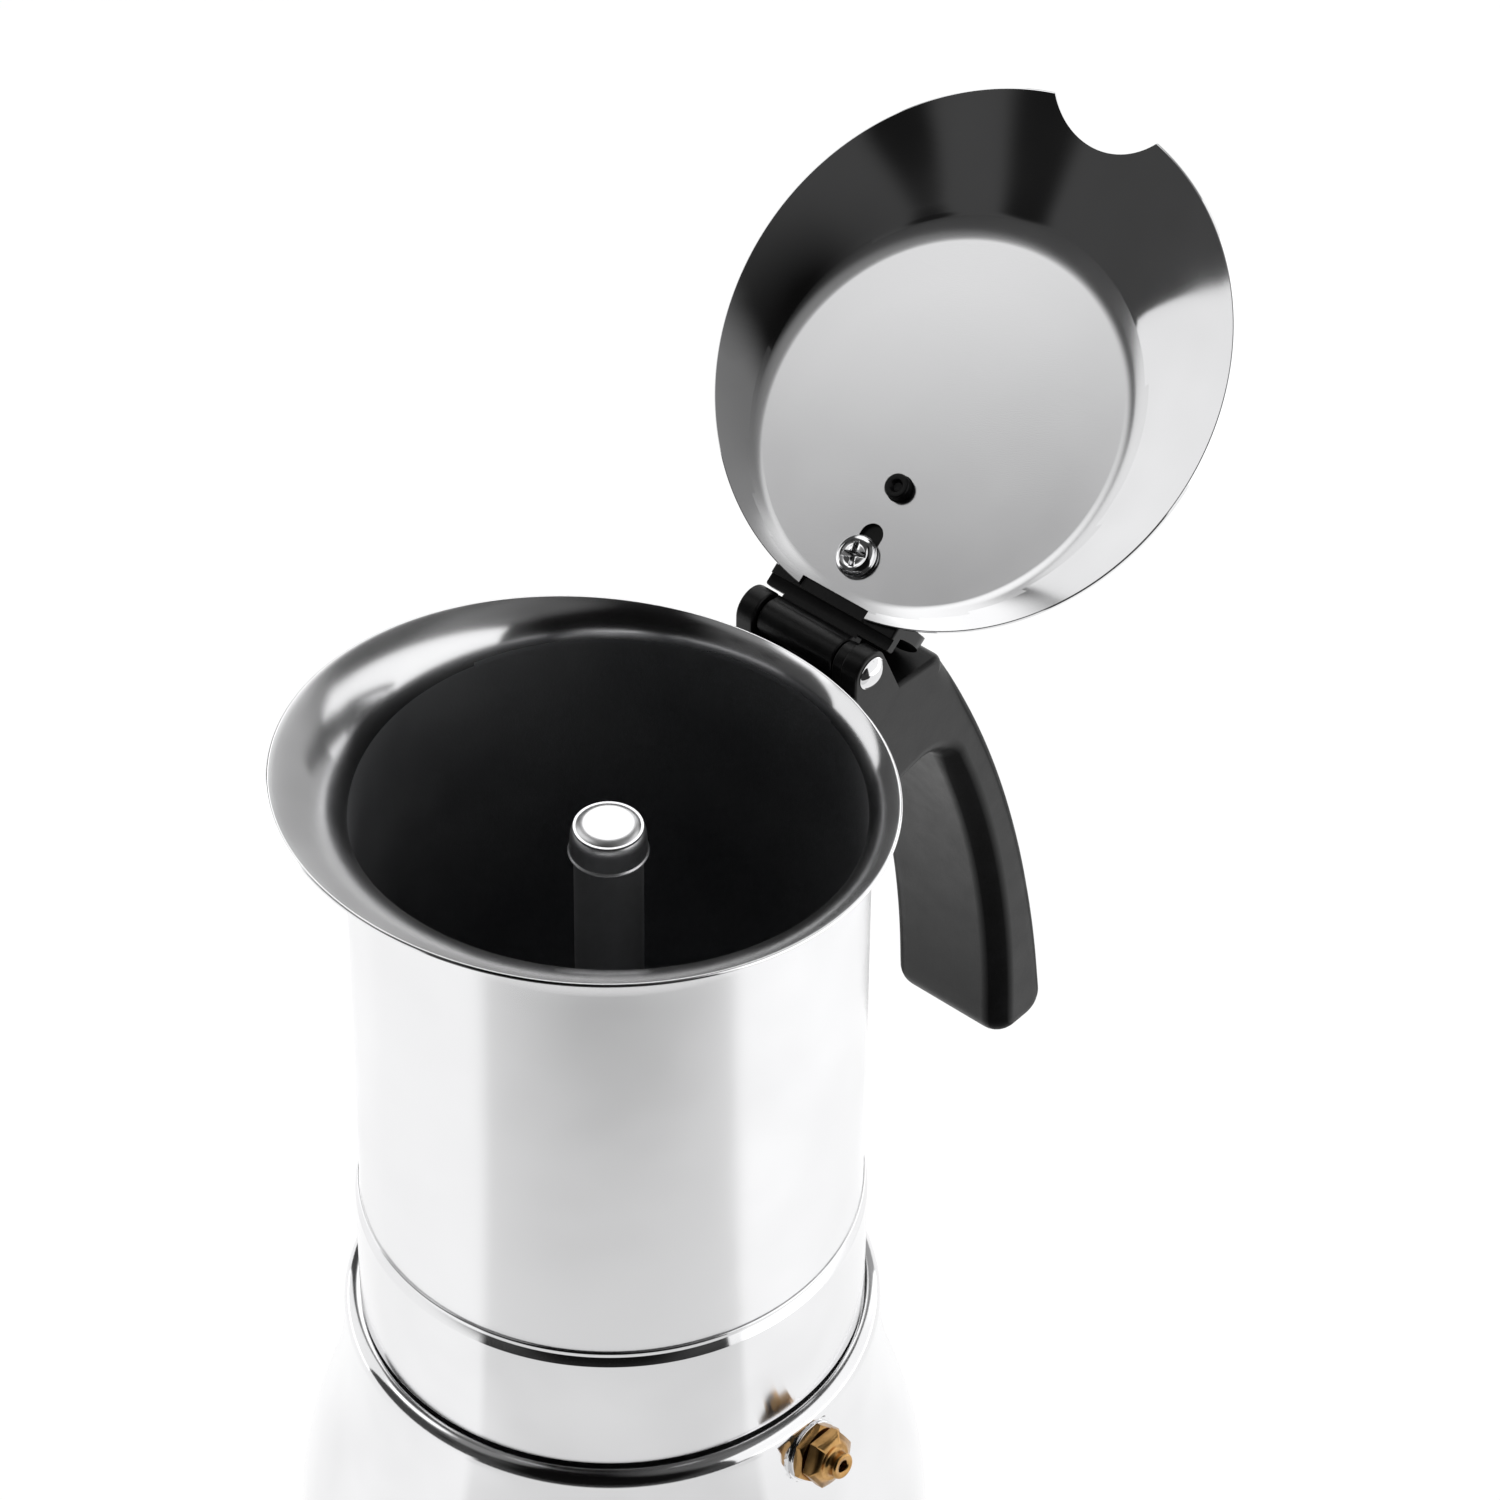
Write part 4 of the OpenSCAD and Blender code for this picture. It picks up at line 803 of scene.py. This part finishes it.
# Seen in polished steel only, the floor is darkened in front of the pot: a grey painted shadow of the pot from about 5
# to 26 cm ahead, and past the paper's near edge, about 27 cm ahead, the dark room, which only shows as the dark lines
# in polished steel
ahead_of_pot = node(tree, "ShaderNodeMath", [(along_floor(-138), 0)], operation="MAXIMUM", in_1=0.01).outputs[0]
half_metre = node(tree, "ShaderNodeMath", [(ahead_of_pot, 0)], operation="MULTIPLY", in_1=2.0).outputs[0]
edge = ramp(tree, half_metre, [(0.1, "#000000"), (0.2, "#8A8A8A"), (0.524, "#6A6A6A"), (0.552, "#FBFBFB")])
sideways = node(tree, "ShaderNodeMath", [(along_floor(-48), 0)], operation="ABSOLUTE").outputs[0]
sideways = node(tree, "ShaderNodeMath", [(sideways, 0), (ahead_of_pot, 1)], operation="DIVIDE").outputs[0]
across = node(tree, "ShaderNodeMapRange", [(sideways, "Value")], in_1=1.15, in_2=1.3, in_3=1.0, in_4=0.0).outputs["Result"]
shadow_and_dark_room = node(tree, "ShaderNodeMath", [(edge, 0), (across, 1)], operation="MULTIPLY").outputs[0]
shadow_and_dark_room = node(tree, "ShaderNodeMath", [(shadow_and_dark_room, 0), (ray_is(tree, "Is Glossy Ray"), 1)], operation="MULTIPLY").outputs[0]
white = node(tree, "ShaderNodeMapRange", [(shadow_and_dark_room, "Value")], in_1=0.0, in_2=1.0, in_3=1.12, in_4=0.0).outputs["Result"]
glow = node(tree, "ShaderNodeEmission", [(white, "Strength")], in_Color=(1, 1, 1, 1))
share = node(tree, "ShaderNodeMath", [(ray_is(tree, "Is Glossy Ray", "Is Transmission Ray"), 0)],
             operation="MULTIPLY_ADD", in_1=0.14, in_2=0.86)
shown = node(tree, "ShaderNodeMath", [(share.outputs[0], 0), (ray_is(tree, "Is Camera Ray", "Is Glossy Ray", "Is Transmission Ray"), 1)],
             operation="MULTIPLY")
mix = node(tree, "ShaderNodeMixShader", [(shown.outputs[0], "Fac")])
tree.links.new(shader.outputs[0], mix.inputs[1])
tree.links.new(glow.outputs[0], mix.inputs[2])
tree.links.new(mix.outputs[0], tree.nodes["Material Output"].inputs["Surface"])
floor.data.materials.append(paper)

world = bpy.data.worlds.new("studio")
bpy.context.scene.world = world
world.use_nodes = True
tree = world.node_tree
tree.nodes.clear()
direction = node(tree, "ShaderNodeTexCoord").outputs["Generated"]


def patch(azimuth, elevation, core, edge, level):
    """A soft round patch of light in a direction, all in degrees: full within its core, gone at its edge"""
    a, e = math.radians(azimuth), math.radians(elevation)
    near = node(tree, "ShaderNodeVectorMath", [(direction, 0)], operation="DOT_PRODUCT",
                in_1=(math.cos(a) * math.cos(e), math.sin(a) * math.cos(e), math.sin(e)))
    return node(tree, "ShaderNodeMapRange", [(near.outputs["Value"], "Value")], interpolation_type="SMOOTHSTEP",
                in_1=math.cos(math.radians(edge)), in_2=math.cos(math.radians(core)), in_3=0.0, in_4=level).outputs["Result"]


lit = node(tree, "ShaderNodeMath", operation="ADD", in_0=0.065, in_1=0.0).outputs[0]
for shade in [(-142, 26, 26, 44, 0.06), (154, 27, 2, 5, 0.055), (166, 37, 2, 4, 0.055), (166, 58, 1, 3, 0.055), (-142, 68, 20, 34, 0.06)]:
    lit = node(tree, "ShaderNodeMath", [(lit, 0), (patch(*shade), 1)], operation="SUBTRACT").outputs[0]
lit = node(tree, "ShaderNodeMath", [(lit, 0)], operation="MAXIMUM", in_1=0.004).outputs[0]
for window in [(137, 61, 12, 18, 0.2), (117, 52, 6.5, 12, 1.3), (41, 44, 14, 26, 1.7), (15, 12, 14, 34, 0.35), (-75, 60, 12, 30, 0.11)]:
    lit = node(tree, "ShaderNodeMath", [(lit, 0), (patch(*window), 1)], operation="ADD").outputs[0]
seen = node(tree, "ShaderNodeMath", [(lit, 0), (ray_is(tree, "Is Camera Ray"), 1)], operation="MAXIMUM").outputs[0]
back = node(tree, "ShaderNodeBackground", [(seen, "Color")], in_Strength=1.0)
out = node(tree, "ShaderNodeOutputWorld", [(back.outputs[0], "Surface")])


def softbox(name, at, look, width, height, level):
    """A rectangular lamp that faces a point, both in metres, as bright as its level"""
    light = bpy.data.lights.new(name, "AREA")
    light.shape = "RECTANGLE"
    light.size, light.size_y, light.energy = width, height, math.pi * width * height * level
    lamp = bpy.data.objects.new(name, light)
    bpy.context.scene.collection.objects.link(lamp)
    lamp.location = at
    lamp.rotation_euler = (Vector(look) - Vector(at)).to_track_quat("-Z", "Y").to_euler()
    return lamp


softbox("card_right", (0.36, -0.42, 0.38), (0, 0, 0.38), 1.1, 0.76, 1.15)
softbox("card_left", (-0.145, 0.582, 0.4), (0, 0, 0.4), 0.36, 0.8, 1.0)

# ------------------------------------------------------------------ camera

camera = bpy.data.objects.new("camera", bpy.data.cameras.new("camera"))
bpy.context.scene.collection.objects.link(camera)
pitch, roll = math.radians(41.8), math.radians(0.6)
ahead, right = Vector((0.763, 0.647, 0)).normalized(), Vector((0.647, -0.763, 0)).normalized()
forward = ahead * math.cos(pitch) - Vector((0, 0, 1)) * math.sin(pitch)
top = right.cross(forward)
right, top = right * math.cos(roll) + top * math.sin(roll), top * math.cos(roll) - right * math.sin(roll)
camera.matrix_world = Matrix.Translation((-0.6226, -0.5602, 0.9591)) @ Matrix((right, top, -forward)).transposed().to_4x4()
camera.data.sensor_width = 36
camera.data.lens = 156
camera.data.clip_start, camera.data.clip_end = 0.1, 50
bpy.context.scene.camera = camera

bpy.context.scene.view_settings.view_transform = "Standard"
